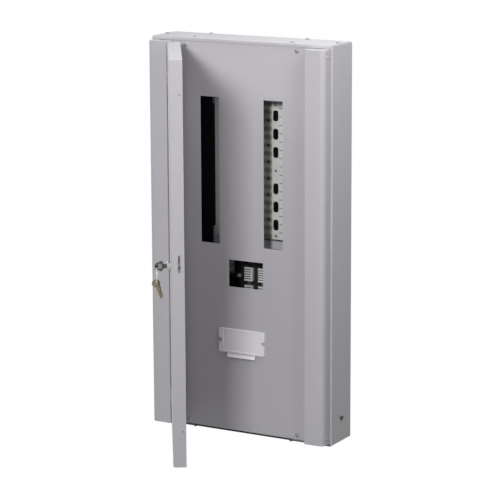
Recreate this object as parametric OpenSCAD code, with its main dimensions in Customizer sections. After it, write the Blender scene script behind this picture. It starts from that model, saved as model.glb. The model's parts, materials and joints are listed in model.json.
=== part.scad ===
// Wall-hung distribution enclosure: sheet-steel box with end plates, two side wings, a front panel
// with two breaker windows, a door with a cam lock and keys, and the busbar pan behind the panel.
// Origin at the centre of the wall face, X to the right, -Y out of the wall, Z up, millimetres.

/* [Box] */
// Width of the box
box_w = 427; // [407:1:477]
// Height of the box over both end plates
box_h = 840; // [836:1:900]
// Depth of the box from the wall to its front rim
box_d = 88; // [84:1:110]
// Thickness of the folded steel sheet
sheet = 1.5; // [1.2:0.1:2]
// Width of the folded rim flanges
rim_w = 20; // [18:1:26]
// Step from the box's sides to the edges of an end plate
end_inset = 2.5; // [1:0.5:4]
// Height of the front lip of the bottom end plate
end_lip_h = 3; // [2:0.5:5]
// Height of the cross rails behind the panel's ends
rail_h = 25; // [22:1:32]
// Diameter of the wall fixing holes
wall_hole_d = 7; // [5:0.5:9]
// Distance of the wall holes from the box's sides
wall_hole_side = 43.5; // [38:0.5:50]
// Distance of the wall holes from the box's ends
wall_hole_end = 70; // [50:1:110]
// Distance of the front and back end screws from the middle
end_screw_x = 115; // [90:1:150]
// Shank diameter of the end screws
end_screw_d = 4; // [3:0.5:5]
// Head diameter of the end screws
end_head_d = 9; // [6:0.5:10]
// Head height of the end screws
end_head_h = 3; // [1.5:0.1:3.5]
// Shank diameter of the earthing bolt in the right side
side_bolt_d = 6; // [5:0.5:8]
// Head diameter of the earthing bolt
side_bolt_head_d = 9; // [8.5:0.5:12]
// Distance of the earthing bolt from the wall
side_bolt_y = 44; // [30:1:60]
// Height of the earthing bolt above the box's lower end
side_bolt_z = 52; // [40:1:120]

/* [Wings] */
// Width of the opening between the two wings
opening_w = 325; // [318:1:340]
// How far the wings stand out in front of the box
wing_rise = 28; // [27:1:40]
// Step from the box's side to the wing's outer wall
wing_step = 4.5; // [3:0.5:9]
// Outer corner radius of a wing
wing_outer_r = 11; // [4:1:16]
// Inner corner radius of a wing
wing_inner_r = 2.2; // [2.1:0.1:4]
// Distance from the box's top down to the wings
wing_top_drop = 8; // [5:1:8]
// Distance from the box's bottom up to the wings
wing_bottom_lift = 6; // [5:1:7]
// Visible height of a wing's end cap
wing_cap_h = 10; // [6:1:20]
// How far a cap's plug reaches into the wing
wing_plug_h = 9; // [8:1:20]
// Width of the foot by which a wing sits on the rim
wing_foot_w = 13; // [11:1:16]
// Head diameter of the cap screws
cap_head_d = 7; // [5:0.5:8]

/* [Door] */
// Angle at which the door stands open
door_open = 58.1; // [0:0.1:120]
// Gap between the door and the wing at the hinges
hinge_gap = 6; // [6:0.5:8]
// Gap between the door and the wing at the lock
latch_gap = 3; // [2.5:0.5:5]
// Gap between the door's flanges and the panel
door_clear = 1.2; // [1:0.1:3]
// Bend radius of the door's edges
door_edge_r = 3; // [2.2:0.1:5]
// Length of a hinge
hinge_len = 28; // [24:1:60]
// Distance from the door's top to the middle of the upper hinge
hinge_top = 75.5; // [50:0.5:200]
// Distance from the door's bottom to the middle of the lower hinge
hinge_bottom = 63.5; // [50:0.5:200]
// Diameter of the hinge knuckles
knuckle_d = 5; // [4.4:0.2:5.2]
// Diameter of the hinge pins
hinge_pin_d = 2.5; // [2:0.1:3]
// Distance of the hinge axis behind the door's face
hinge_set_back = 1; // [0.5:0.1:1.2]
// Thickness of the hinge leaves
leaf_t = 1; // [0.8:0.1:1.2]
// Width of the hinge leaves behind the axis
leaf_w = 18; // [14:1:22]
// Diameter of the spare holes in the door's free edge
flange_hole_d = 4; // [3:0.5:6]
// Distance from the door's top to the upper spare hole
flange_hole_top = 68.5; // [40:0.5:200]
// Distance from the door's bottom to the lower spare hole
flange_hole_bottom = 74.5; // [40:0.5:200]
// Distance of the spare holes behind the door's face
flange_hole_back = 20.5; // [16:0.5:22]

/* [Front panel] */
// Gap between the panel and the wings
panel_gap = 1; // [0.5:0.1:2]
// Distance from the box's top to the panel
panel_top_gap = 4; // [3.5:0.5:6]
// Distance from the box's bottom to the panel
panel_bottom_gap = 4; // [3.5:0.5:6]
// Width of one breaker module
module_w = 17.5; // [17:0.1:18]
// Height of a breaker window
window_h = 311.5; // [246:0.5:329]
// Width of a breaker window
window_w = 45; // [44:0.5:48]
// Distance between the middles of the two windows
window_spread = 151; // [145:1:160]
// Distance from the panel's top to the windows
window_top = 117; // [100:0.5:130]
// Width of the incoming terminals' opening
incomer_w = 82; // [60:1:90]
// Height of the incoming terminals' opening
incomer_h = 58; // [40:1:66]
// Middle of the incoming terminals' opening across the panel
incomer_x = 9.5; // [0:0.5:20]
// Distance from the windows down to the incoming terminals' opening
incomer_drop = 32; // [26:0.5:40]
// Width of the notch in the bottom end plate's front edge
notch_w = 234; // [100:1:240]
// Depth of the notch in the bottom end plate's front edge
notch_d = 6; // [4:0.5:6]
// Distance of the panel screws from the middle
panel_screw_x = 132; // [125:1:145]
// Distance of the upper panel screws from the box's top
panel_screw_top = 15; // [14.5:0.5:20]
// Distance of the lower panel screws from the box's bottom
panel_screw_bottom = 13.5; // [13:0.5:20]
// Shank diameter of the panel screws
panel_screw_d = 4; // [3:0.5:5]
// Head diameter of the panel screws
panel_head_d = 9.5; // [7:0.5:10]
// Head height of the panel screws
panel_head_h = 2.6; // [1.5:0.1:2.8]
// Width of the blanking plate
plate_w = 110; // [90:1:130]
// Height of the blanking plate
plate_h = 52; // [40:1:70]
// Distance from the panel's bottom to the middle of the blanking plate
plate_up = 196.5; // [170:0.5:220]
// Thickness of the blanking plate
plate_t = 3; // [2:0.5:5]
// Height of the rim on the blanking plate
plate_rim_t = 1; // [0.5:0.1:2]
// Width of the finger tab under the blanking plate
tab_w = 67; // [40:1:80]
// Height of the finger tab
tab_h = 11; // [8:1:20]

/* [Lock and keys] */
// Distance of the lock from the inside of the door's free edge
lock_inset = 24; // [23:0.5:25]
// Height of the lock
lock_z = -3; // [-30:1:30]
// Diameter of the lock's head
lock_head_d = 20; // [18:0.5:26]
// How far the lock's head stands out
lock_head_h = 8; // [4:0.5:10]
// Diameter of the lock's barrel
barrel_d = 16; // [14:0.5:17.5]
// Diameter of the turning plug
plug_d = 11; // [10:0.5:12]
// Depth of the cam's middle behind the door's face
cam_depth = 16.5; // [15:0.5:18]
// Thickness of the cam
cam_t = 2.5; // [1.5:0.1:3]
// Reach of the cam from the lock's axis
cam_reach = 31.5; // [31:0.5:32.5]
// Width of the cam's nose
cam_w = 10; // [8:0.5:11]
// Thickness of the keys
key_t = 1.8; // [1.4:0.1:2]
// Height of a key's blade
key_blade_h = 7; // [5:0.5:7.5]
// Length of a key's blade
key_blade_l = 14; // [10:1:14]
// Radius of the key's bow
key_bow_r = 8.5; // [8:0.5:11]
// Radius of the hole in a key's bow
key_hole_r = 3; // [2.5:0.1:3.2]
// Outer diameter of the key ring
ring_d = 30; // [26:1:36]
// Diameter of the key ring's wire
ring_wire_d = 2; // [1.6:0.1:2.2]
// Angle at which the spare key hangs
spare_tilt = 21; // [0:1:25]

/* [Busbar pan] */
// Width of the pan's tray
tray_w = 300; // [280:1:306]
// How far the tray reaches above the strips
tray_over = 33; // [29:1:45]
// How far the tray reaches below the incoming terminals
tray_under = 56; // [52:1:70]
// Distance from the wall to the tray
tray_gap = 14; // [10:0.5:15]
// Distance from the wall to the front of the pan
pan_front = 48; // [47:0.5:52]
// Inner edge of the moulded strips
strip_in = 51; // [48:1:52]
// Outer edge of the moulded strips
strip_out = 86; // [78:1:88]
// Thickness of the moulded strips
strip_t = 3; // [2:0.5:3.5]
// Distance from the windows' upper edge down to the strips
strip_top = 6; // [5:0.5:15]
// Distance from the windows' lower edge up to the strips
strip_bottom = 12.5; // [5:0.5:15]
// Distance between tap sockets
socket_pitch = 38.5; // [36:0.5:39]
// Width of a tap socket
socket_w = 12.4; // [10:0.2:13]
// Height of a tap socket
socket_h = 23; // [20:0.5:24]
// Distance of the tap sockets from the middle
socket_x = 60; // [59:0.5:62]
// Width of a phase busbar
bar_w = 30; // [24:1:34]
// Thickness of a phase busbar
bar_t = 4; // [3:0.5:5]
// Distance from one phase busbar to the next
bar_pitch = 9; // [8.5:0.5:9.5]
// Height of a tap finger
finger_h = 12; // [8:1:14]

/* [Terminals] */
// Distance between the incoming terminals
terminal_pitch = 33.3; // [30:0.1:36]
// Distance of the incoming terminals from the middle of their opening
terminal_side = 19.1; // [14:0.1:22]
// Width of a ribbed terminal block
block_w = 20; // [16:0.5:24]
// Height of a ribbed terminal block
block_h = 30; // [24:1:34]
// Depth of a ribbed terminal block
block_d = 8; // [5:0.5:9]
// Gap between the two rows of terminal blocks
block_gap = 9; // [8.5:0.5:12]
// Distance from the middle of the opening down to the terminals
terminal_drop = 26.5; // [22:0.5:32]
// Length of the neutral and earth bars
rail_bar_l = 190; // [150:1:240]
// Height of the neutral bar above the box's lower end
neutral_up = 120; // [100:1:140]
// Height of the earth bar above the box's lower end
earth_up = 68; // [50:1:80]
// Side of the neutral and earth bars' section
rail_bar_s = 9; // [8:0.5:12]
// Distance between terminal screws on those bars
rail_bar_pitch = 12; // [10:0.5:20]

/* [Hidden] */
$fn = 48;

// Cutting tools reach past the faces they cut by this much
past = 1;
// Radial clearance of screws, pins and turning parts
play = 0.05;
// Clearance between pieces that slide past each other
slack = 0.3;

// Box planes
side_x = box_w / 2;
end_z = box_h / 2;
lip_gap = 1;
top_lip_h = wing_top_drop - lip_gap;
notch_back_y = notch_d - box_d;
shell_z = end_z - sheet;
front_y = -box_d;
panel_back_y = front_y + sheet;
rail_back_y = panel_back_y + sheet;
rail_end_z = shell_z - sheet - rail_h;
rim_x = side_x - rim_w / 2;
end_screw_spots = [
  for (s = [-1, 1]) [s * rim_x, front_y / 2],
  for (s = [-1, 1]) [s * end_screw_x, -rim_w / 2],
  for (s = [-1, 1]) [s * end_screw_x, panel_back_y + rim_w / 2]
];
end_screw_l = 8;
end_head_rim = 1.2;
end_head_top_d = 4;
wall_hole_x = box_w / 2 - wall_hole_side;
wall_hole_z = end_z - wall_hole_end;
side_bolt_spot = [-side_bolt_y, side_bolt_z - end_z];
side_bolt_head_h = 3;
side_bolt_spare = 10;
side_nut_h = 5;

// Wings
wing_in_x = opening_w / 2;
wing_out_x = box_w / 2 - wing_step;
face_y = front_y - wing_rise;
wing_top_z = end_z - wing_top_drop;
wing_bottom_z = wing_bottom_lift - end_z;
wing_foot_x = wing_out_x - sheet - wing_foot_w;
wing_rivet_x = (max(wing_foot_x, side_x - rim_w) + wing_out_x - sheet) / 2;
wing_rivet_d = 4;
wing_rivet_head_d = 7;
wing_rivet_head_h = 1.4;
wing_rivet_end = 84;
wing_rivet_zs = [wing_rivet_end - end_z, 0, end_z - wing_rivet_end];
cap_end_t = 2;
cap_wall = 2;
cap_play = 0.2;
cap_inner_r = 0.2;
cap_screw_d = 3;
cap_head_h = 1.2;
cap_screw_y = front_y - wing_rise / 2;
cap_screw_up = wing_cap_h + wing_plug_h / 2;
cap_screw_zs = [wing_bottom_z + cap_screw_up, wing_top_z - cap_screw_up];

// Door, drawn shut and then turned about the hinge axis
door_left_x = -wing_in_x + hinge_gap;
door_right_x = wing_in_x - latch_gap;
door_back_y = front_y - door_clear;
hinge_x = -wing_in_x + hinge_gap / 2;
hinge_y = face_y + hinge_set_back;
hinge_zs = [wing_bottom_z + hinge_bottom, wing_top_z - hinge_top];
knuckle_r = knuckle_d / 2;
pin_r = hinge_pin_d / 2;
pin_head_r = knuckle_r - slack;
pin_head_h = 1;
leaf_end_y = hinge_y + leaf_w;
leaf_rivet_d = 3;
leaf_rivet_head_d = 5;
leaf_rivet_head_h = 0.8;
leaf_rivet_back = 11.2;
leaf_rivet_end = 5.6;
leaf_rivet_y = hinge_y + leaf_rivet_back;
leaf_rivet_zs = [leaf_rivet_end - hinge_len / 2, hinge_len / 2 - leaf_rivet_end];
knuckle_step = hinge_len / 3;
flange_hole_zs = [wing_bottom_z + flange_hole_bottom, wing_top_z - flange_hole_top];

// Panel and blanking plate
panel_x = wing_in_x - panel_gap;
panel_top_z = end_z - panel_top_gap;
panel_bottom_z = panel_bottom_gap - end_z;
ways = floor(window_h / module_w);
window_high_z = panel_top_z - window_top;
window_low_z = window_high_z - window_h;
incomer_high_z = window_low_z - incomer_drop;
incomer_low_z = incomer_high_z - incomer_h;
terminal_z = (incomer_low_z + incomer_high_z) / 2 - terminal_drop;
plate_z = panel_bottom_z + plate_up;
panel_slot_w = 1.2;
panel_slot_l = 5.4;
panel_slot_d = 1;
panel_screw_l = 8;
panel_screw_spots = [
  for (s = [-1, 1]) [s * panel_screw_x, end_z - panel_screw_top],
  for (s = [-1, 1]) [s * panel_screw_x, panel_screw_bottom - end_z]
];
plate_r = 3;
plate_rim_w = 4;
plate_notch_w = 7;
plate_notch_h = 9;
plate_cover = 9;
plate_clip_w = 16;
plate_clip_t = 2;
plate_clip_d = 7;
tab_t = 2;
tab_rim_w = 2.5;
tab_rim_t = 1.5;

// Lock
lock_x = door_right_x - sheet - lock_inset;
lock_front_y = face_y - lock_head_h;
cam_front_y = face_y + cam_depth - cam_t / 2;
cam_back_y = cam_front_y + cam_t;
barrel_end_y = cam_front_y - slack;
lock_chamfer = 1.2;
lock_nut_t = 4;
lock_nut_wall = 5;
lock_nut_r = barrel_d / 2 + lock_nut_wall;
plug_sink = 0.5;
boss_s = 6;
cam_hub_r = 8;
cam_nose_r = cam_w / 2;
cam_slot_play = 2.5;
cam_slot_w = cam_t + cam_slot_play;
cam_slot_up = 26;
cam_slot_down = 9;
keeper_slot_z = 12;
cam_screw_d = 3;
cam_head_d = 8;
cam_head_h = 2.4;

// Keys, measured outwards from the lock's front
key_play = 0.2;
key_gap = 0.3;
keyway_w = key_t + 2 * key_play;
keyway_h = key_blade_h + 2 * key_play;
key_neck_l = 7;
key_neck_h = 9;
key_bow_at = key_neck_l + key_bow_r;
key_rim = 1.2;
key_hole_at = key_bow_at + key_bow_r - key_hole_r - key_rim;
key_cut_s = 1.8;
key_cut_pitch = 2.8;
key_cut_n = floor((key_blade_l - key_cut_s) / key_cut_pitch);
key_lobe_r = 4.6;
key_lobe_up = 6;
ring_r = ring_wire_d / 2;
ring_mid_r = ring_d / 2 - ring_r;
hang = key_hole_r - ring_r - slack;
ring_y = lock_front_y - key_gap - key_hole_at;
ring_z = lock_z - hang - ring_mid_r;
spare_pivot_z = ring_z - ring_mid_r;
spare_bow_r = 8.5;
spare_bow_side = 3.6;
spare_bow_drop = 2.5;
spare_blade_l = 24;
spare_tip = -spare_bow_drop - spare_bow_r - spare_blade_l;

// Busbar pan
tray_front_y = -tray_gap - sheet;
pan_y = -pan_front;
strip_back_y = pan_y + strip_t;
strip_low_z = window_low_z + strip_bottom;
strip_high_z = window_high_z - strip_top;
strip_mid = (strip_low_z + strip_high_z) / 2;
strip_half = (strip_high_z - strip_low_z) / 2;
tray_top = strip_high_z + tray_over;
tray_bottom = terminal_z - tray_under;
strip_wall_t = 2;
strip_wall_d = 15;
bracket_lap = 15;
bracket_show = 22;
bracket_foot_w = 12;
bracket_side = 7;
bracket_half_w = strip_out + bracket_side;
bracket_screw_x = bracket_half_w + bracket_foot_w / 2;
bracket_mid = (bracket_show - bracket_lap) / 2;
bracket_screw_zs = [strip_low_z - bracket_mid, strip_high_z + bracket_mid];
standoff_side = 14;
standoff_end = 12;
standoff_x = tray_w / 2 - standoff_side;
standoff_zs = [tray_bottom + standoff_end, tray_top - standoff_end];
standoff_r = 6;
standoff_floor = 2;
tray_screw_d = 5;
tray_head_d = 9;
tray_head_h = 2.5;
socket_rows = floor((strip_half - bracket_lap - socket_h / 2) / socket_pitch);
socket_steps = [for (k = [socket_rows:-1:-socket_rows]) if (k != 0) k];
socket_sink = 1;
socket_slot_w = 4;
socket_slot_h = 15;
socket_r = 5;
phases = 3;
bar_gap = 8;
bar_front_y = pan_y + bar_gap;
bar_under = 50;
bar_low_z = strip_low_z - bar_under;
bar_short = 4;
bar_high_z = strip_high_z - bracket_lap - bar_short;
finger_t = 2;
finger_past = 2;
finger_end_x = socket_x + finger_past;
arm_h = 12;
support_t = 14;
support_side = 7;
support_past = 12;
support_half_w = bar_w / 2 + support_side;
support_wide_w = socket_x + support_past;
support_spread = 1.5 * socket_pitch;
support_bore = 6;
shroud_t = 2;
dot_r = 3;
dot_inset = 9;
dot_x = strip_in - dot_inset;
dot_steps = [for (k = [1, 3, 6, 8]) if (k * module_w + dot_r < strip_half) k];
tick_w = 1.6;
tick_l = 8;
tick_inset = 10;
tick_x = strip_out - tick_inset;
tick_n = ways - 1;
tick_floor = 1;
strip_screw_d = 3;
strip_head_d = 6;
strip_head_h = 1.6;
strip_screw_zs = [strip_low_z + bracket_lap / 2, strip_mid, strip_high_z - bracket_lap / 2];

// Incoming terminals and the neutral and earth bars
terminal_xs = [for (k = [-1, 0, 1]) incomer_x + terminal_side + k * terminal_pitch];
carrier_t = 3;
carrier_gap = 1;
carrier_side = 13;
carrier_end = 6;
carrier_front_y = bar_front_y - carrier_gap - carrier_t;
carrier_low_x = terminal_xs[0] - block_w / 2 - carrier_side;
carrier_high_x = terminal_xs[2] + block_w / 2 + carrier_side;
carrier_half_h = block_gap / 2 + block_h + carrier_end;
carrier_top_z = terminal_z + carrier_half_h;
carrier_bottom_z = terminal_z - carrier_half_h;
carrier_foot_w = 30;
carrier_foot_t = 2.5;
carrier_screw_out = 18;
carrier_screw_up = 6;
carrier_screw_xs = [carrier_low_x - carrier_screw_out, carrier_high_x + carrier_screw_out];
carrier_screw_z = terminal_z + carrier_screw_up;
rib_count = 5;
rib_d = 4;
rib_h = 2;
rib_border = 4;
stud_r = 4;
stud_show = 4;
post_w = 14;
post_h = 32.5;
post_x = rail_bar_l / 2 - post_w / 2;
post_screw_d = 4;
post_head_d = 7;
post_head_h = 2.5;
neutral_z = neutral_up - end_z;
earth_z = earth_up - end_z;
rail_back_face_y = -sheet - post_h;
rail_face_y = rail_back_face_y - rail_bar_s;
rail_screw_d = 5;
rail_screw_h = 3;
rail_wire_r = 2;
rail_screw_n = floor((rail_bar_l - 2 * post_w) / rail_bar_pitch);
rail_screw_xs = [for (k = [0:rail_screw_n - 1]) (k - (rail_screw_n - 1) / 2) * rail_bar_pitch];

steel_paint = [0.80, 0.80, 0.82];
zinc = [0.72, 0.74, 0.76];
dark = [0.12, 0.12, 0.13];
white_plastic = [0.93, 0.93, 0.92];
shroud_grey = [0.62, 0.66, 0.60];
copper = [0.76, 0.45, 0.28];
brass = [0.80, 0.66, 0.32];

// A box between two opposite corners
module between(a, b) {
  low = [for (i = [0:2]) min(a[i], b[i])];
  high = [for (i = [0:2]) max(a[i], b[i])];
  translate(low) cube(high - low);
}

// Round bars along each axis
module rod_x(r, x0, x1, y, z) {
  translate([min(x0, x1), y, z]) rotate([0, 90, 0]) cylinder(r = r, h = abs(x1 - x0));
}
module rod_y(r, y0, y1, x, z) {
  translate([x, min(y0, y1), z]) rotate([-90, 0, 0]) cylinder(r = r, h = abs(y1 - y0));
}
module rod_z(r, z0, z1, x, y) {
  translate([x, y, min(z0, z1)]) cylinder(r = r, h = abs(z1 - z0));
}

// A flat outline in X and Z, given thickness towards the front
module sheet_y(back_y, t) {
  translate([0, back_y, 0]) rotate([90, 0, 0]) linear_extrude(t) children();
}

// A flat outline in Y and Z, given thickness along X
module sheet_x(x0, t) {
  translate([x0, 0, 0]) rotate([90, 0, 90]) linear_extrude(t) children();
}

// A rectangle with round corners about a middle point
module soft_rect(w, h, r) {
  square([w - 2 * r, h], center = true);
  square([w, h - 2 * r], center = true);
  for (i = [-1, 1], j = [-1, 1]) translate([i * (w / 2 - r), j * (h / 2 - r)]) circle(r);
}

// A channel section whose two front corners are round
module front_round(x0, x1, y0, y1, r0, r1) {
  translate([x0, y0 + r0]) square([r0, y1 - y0 - r0]);
  translate([x0 + r0, y0]) square([x1 - x0 - r0 - r1, y1 - y0]);
  translate([x1 - r1, y0 + r1]) square([r1, y1 - y0 - r1]);
  translate([x0 + r0, y0 + r0]) circle(r0);
  translate([x1 - r1, y0 + r1]) circle(r1);
}

// Pieces that ride on the door, turned to the open angle
module on_door() {
  translate([hinge_x, hinge_y, 0]) rotate([0, 0, -door_open])
    translate([-hinge_x, -hinge_y, 0]) children();
}

// Box
module body_shell() {
  color(steel_paint) difference() {
    union() {
      between([-side_x, -sheet, -shell_z], [side_x, 0, shell_z]);
      for (s = [-1, 1]) {
        between([s * (side_x - sheet), front_y, -shell_z], [s * side_x, 0, shell_z]);
        between([s * (side_x - rim_w), front_y, -shell_z], [s * side_x, panel_back_y, shell_z]);
      }
      for (s = [-1, 1], e = [-1, 1])
        between([s * (side_x - rim_w), front_y, e * (shell_z - sheet)], [s * side_x, 0, e * shell_z]);
      for (e = [-1, 1])
        between([-side_x, -rim_w, e * (shell_z - sheet)], [side_x, 0, e * shell_z]);
    }
    for (i = [-1, 1], j = [-1, 1])
      rod_y(wall_hole_d / 2, -sheet - past, past, i * wall_hole_x, j * wall_hole_z);
    for (p = end_screw_spots)
      rod_z(end_screw_d / 2 + play, -end_z, end_z, p[0], p[1]);
    for (s = [-1, 1], z = wing_rivet_zs)
      rod_y(wing_rivet_d / 2 + play, front_y - past, panel_back_y + past, s * wing_rivet_x, z);
    rod_x(side_bolt_d / 2 + play, side_x - sheet - past, side_x + past, side_bolt_spot[0], side_bolt_spot[1]);
    for (s = [-1, 1], z = [neutral_z, earth_z])
      rod_y(post_screw_d / 2 + play, -sheet - past, past, s * post_x, z);
  }
}

// A cross rail ties the two sides together and takes the screws of the panel and the end plate
module cross_rail(e) {
  color(steel_paint) difference() {
    union() {
      between([-side_x + sheet, panel_back_y, e * rail_end_z],
              [side_x - sheet, rail_back_y, e * (shell_z - sheet)]);
      between([-side_x + rim_w, panel_back_y, e * (shell_z - sheet)],
              [side_x - rim_w, panel_back_y + rim_w, e * shell_z]);
    }
    for (p = panel_screw_spots)
      rod_y(panel_screw_d / 2 + play, panel_back_y - past, rail_back_y + past, p[0], p[1]);
    for (p = end_screw_spots)
      rod_z(end_screw_d / 2 + play, -end_z, end_z, p[0], p[1]);
    between([-notch_w / 2, panel_back_y - past, -shell_z - past],
            [notch_w / 2, notch_back_y, panel_bottom_z]);
  }
}
module upper_cross_rail() { cross_rail(1); }
module lower_cross_rail() { cross_rail(-1); }

// An end plate closes the box, with a lip in front of the panel's end; the bottom one has a notch
module end_plate(e) {
  lip_h = e > 0 ? top_lip_h : end_lip_h;
  edge_x = side_x - end_inset;
  color(steel_paint) difference() {
    union() {
      between([-edge_x, front_y, e * shell_z], [edge_x, 0, e * end_z]);
      between([-edge_x, front_y - sheet, e * (end_z - lip_h)], [edge_x, front_y, e * end_z]);
    }
    for (p = end_screw_spots)
      rod_z(end_screw_d / 2 + play, e * (shell_z - past), e * (end_z + past), p[0], p[1]);
    between([-notch_w / 2, front_y - sheet - past, -end_z - past],
            [notch_w / 2, notch_back_y, end_lip_h - end_z + past]);
  }
}
module top_end_plate() { end_plate(1); }
module bottom_end_plate() { end_plate(-1); }

// Round-headed screws through an end plate into the flanges behind it
module end_screws(e) {
  color(zinc) for (p = end_screw_spots) {
    rod_z(end_screw_d / 2, e * (end_z - end_screw_l), e * end_z, p[0], p[1]);
    rod_z(end_head_d / 2, e * end_z, e * (end_z + end_head_rim), p[0], p[1]);
    translate([p[0], p[1], e * (end_z + end_head_rim)]) mirror([0, 0, e > 0 ? 0 : 1])
      cylinder(r1 = end_head_d / 2, r2 = end_head_top_d / 2, h = end_head_h - end_head_rim);
  }
}
module top_end_screws() { end_screws(1); }
module bottom_end_screws() { end_screws(-1); }

// Earthing bolt and nut in the right side
module side_earth_bolt() {
  color(dark) {
    rod_x(side_bolt_head_d / 2, side_x, side_x + side_bolt_head_h, side_bolt_spot[0], side_bolt_spot[1]);
    rod_x(side_bolt_d / 2, side_x - sheet - side_nut_h - side_bolt_spare, side_x,
          side_bolt_spot[0], side_bolt_spot[1]);
  }
}
module side_earth_nut() {
  color(brass) difference() {
    translate([side_x - sheet - side_nut_h, side_bolt_spot[0], side_bolt_spot[1]]) rotate([0, 90, 0])
      cylinder(r = side_bolt_d, h = side_nut_h, $fn = 6);
    rod_x(side_bolt_d / 2 + play, side_x - sheet - side_nut_h - past, side_x,
          side_bolt_spot[0], side_bolt_spot[1]);
  }
}

// Section of a wing, drawn on the right and inset by a wall
module wing_section(inset, back_y) {
  front_round(wing_in_x + inset, wing_out_x - inset, face_y + inset, back_y,
              wing_inner_r - inset, wing_outer_r - inset);
}

// A wing is a hollow channel with a foot on the rim
module wing() {
  low = wing_bottom_z + wing_cap_h;
  high = wing_top_z - wing_cap_h;
  difference() {
    union() {
      translate([0, 0, low]) linear_extrude(high - low) difference() {
        wing_section(0, front_y);
        wing_section(sheet, front_y + past);
      }
      between([wing_foot_x, front_y - sheet, low], [wing_out_x - sheet, front_y, high]);
      between([wing_in_x, front_y, low], [wing_in_x + sheet, panel_back_y, high]);
    }
    for (z = wing_rivet_zs)
      rod_y(wing_rivet_d / 2 + play, front_y - sheet - past, front_y + past, wing_rivet_x, z);
    for (z = cap_screw_zs)
      rod_x(cap_screw_d / 2 + play, wing_out_x - sheet - past, wing_out_x + past, cap_screw_y, z);
  }
}
module left_wing() {
  color(steel_paint) difference() {
    mirror([1, 0, 0]) wing();
    for (h = hinge_zs, z = leaf_rivet_zs)
      rod_x(leaf_rivet_d / 2 + play, -wing_in_x - sheet - past, -wing_in_x + past, leaf_rivet_y, h + z);
  }
}
module right_wing() {
  color(steel_paint) difference() {
    wing();
    between([wing_in_x - past, face_y + cam_depth - cam_slot_w / 2, lock_z - keeper_slot_z],
            [wing_in_x + sheet + past, face_y + cam_depth + cam_slot_w / 2, lock_z + keeper_slot_z]);
  }
}

// An end cap continues the wing's section and plugs into it, drawn for the upper end
module wing_cap() {
  gap = sheet + cap_play;
  difference() {
    union() {
      translate([0, 0, wing_top_z - wing_cap_h]) linear_extrude(wing_cap_h) wing_section(0, front_y);
      translate([0, 0, wing_top_z - wing_cap_h - wing_plug_h]) linear_extrude(wing_plug_h)
        front_round(wing_in_x + gap, wing_out_x - gap, face_y + gap, front_y - gap - sheet,
                    max(wing_inner_r - gap, cap_inner_r), wing_outer_r - gap);
    }
    translate([0, 0, wing_top_z - wing_cap_h - wing_plug_h - past])
      linear_extrude(wing_plug_h + wing_cap_h - cap_end_t + past)
        front_round(wing_in_x + gap + cap_wall, wing_out_x - gap - cap_wall, face_y + gap + cap_wall,
                    front_y - gap - sheet - cap_wall, cap_inner_r,
                    max(wing_outer_r - gap - cap_wall, cap_inner_r));
    rod_x(cap_screw_d / 2 + play, wing_out_x - sheet - cap_play - cap_wall - past, wing_out_x,
          cap_screw_y, wing_top_z - cap_screw_up);
  }
}
module wing_caps() {
  wing_cap();
  translate([0, 0, wing_top_z + wing_bottom_z]) mirror([0, 0, 1]) wing_cap();
}
module left_wing_caps() { color(steel_paint) mirror([1, 0, 0]) wing_caps(); }
module right_wing_caps() { color(steel_paint) wing_caps(); }

// Low-headed screws that hold the caps through the wings' outer walls
module wing_cap_screws() {
  color(steel_paint) for (s = [-1, 1], z = cap_screw_zs) {
    rod_x(cap_head_d / 2, s * wing_out_x, s * (wing_out_x + cap_head_h), cap_screw_y, z);
    rod_x(cap_screw_d / 2, s * (wing_out_x - sheet - cap_play - cap_wall), s * wing_out_x, cap_screw_y, z);
  }
}

// Rivets through the wings' feet and the box's rim
module wing_rivets() {
  color(zinc) for (s = [-1, 1], z = wing_rivet_zs) {
    rod_y(wing_rivet_head_d / 2, front_y - sheet - wing_rivet_head_h, front_y - sheet, s * wing_rivet_x, z);
    rod_y(wing_rivet_d / 2, front_y - sheet, panel_back_y, s * wing_rivet_x, z);
    rod_y(wing_rivet_head_d / 2, panel_back_y, panel_back_y + wing_rivet_head_h, s * wing_rivet_x, z);
  }
}

// Front panel with its breaker windows and openings
module front_panel() {
  color(steel_paint) difference() {
    between([-panel_x, front_y, panel_bottom_z], [panel_x, panel_back_y, panel_top_z]);
    for (s = [-1, 1])
      between([s * window_spread / 2 - window_w / 2, front_y - past, window_low_z],
              [s * window_spread / 2 + window_w / 2, panel_back_y + past, window_high_z]);
    between([incomer_x - incomer_w / 2, front_y - past, incomer_low_z],
            [incomer_x + incomer_w / 2, panel_back_y + past, incomer_high_z]);
    between([plate_cover - plate_w / 2, front_y - past, plate_z + plate_cover - plate_h / 2],
            [plate_w / 2 - plate_cover, panel_back_y + past, plate_z - plate_cover + plate_h / 2]);
    for (p = panel_screw_spots)
      rod_y(panel_screw_d / 2 + play, front_y - past, panel_back_y + past, p[0], p[1]);
  }
}

// Screws that hold the panel to the cross rails
module panel_screws() {
  color(zinc) for (p = panel_screw_spots) difference() {
    union() {
      rod_y(panel_head_d / 2, front_y - panel_head_h, front_y, p[0], p[1]);
      rod_y(panel_screw_d / 2, front_y, front_y + panel_screw_l, p[0], p[1]);
    }
    between([p[0] - panel_slot_l / 2, front_y - panel_head_h - past, p[1] - panel_slot_w / 2],
            [p[0] + panel_slot_l / 2, front_y - panel_head_h + panel_slot_d, p[1] + panel_slot_w / 2]);
  }
}

// Outline of the blanking plate with its two side notches
module plate_outline() {
  difference() {
    soft_rect(plate_w, plate_h, plate_r);
    for (s = [-1, 1])
      translate([s * plate_w / 2, 0]) square([plate_notch_w * 2, plate_notch_h], center = true);
  }
}

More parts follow.
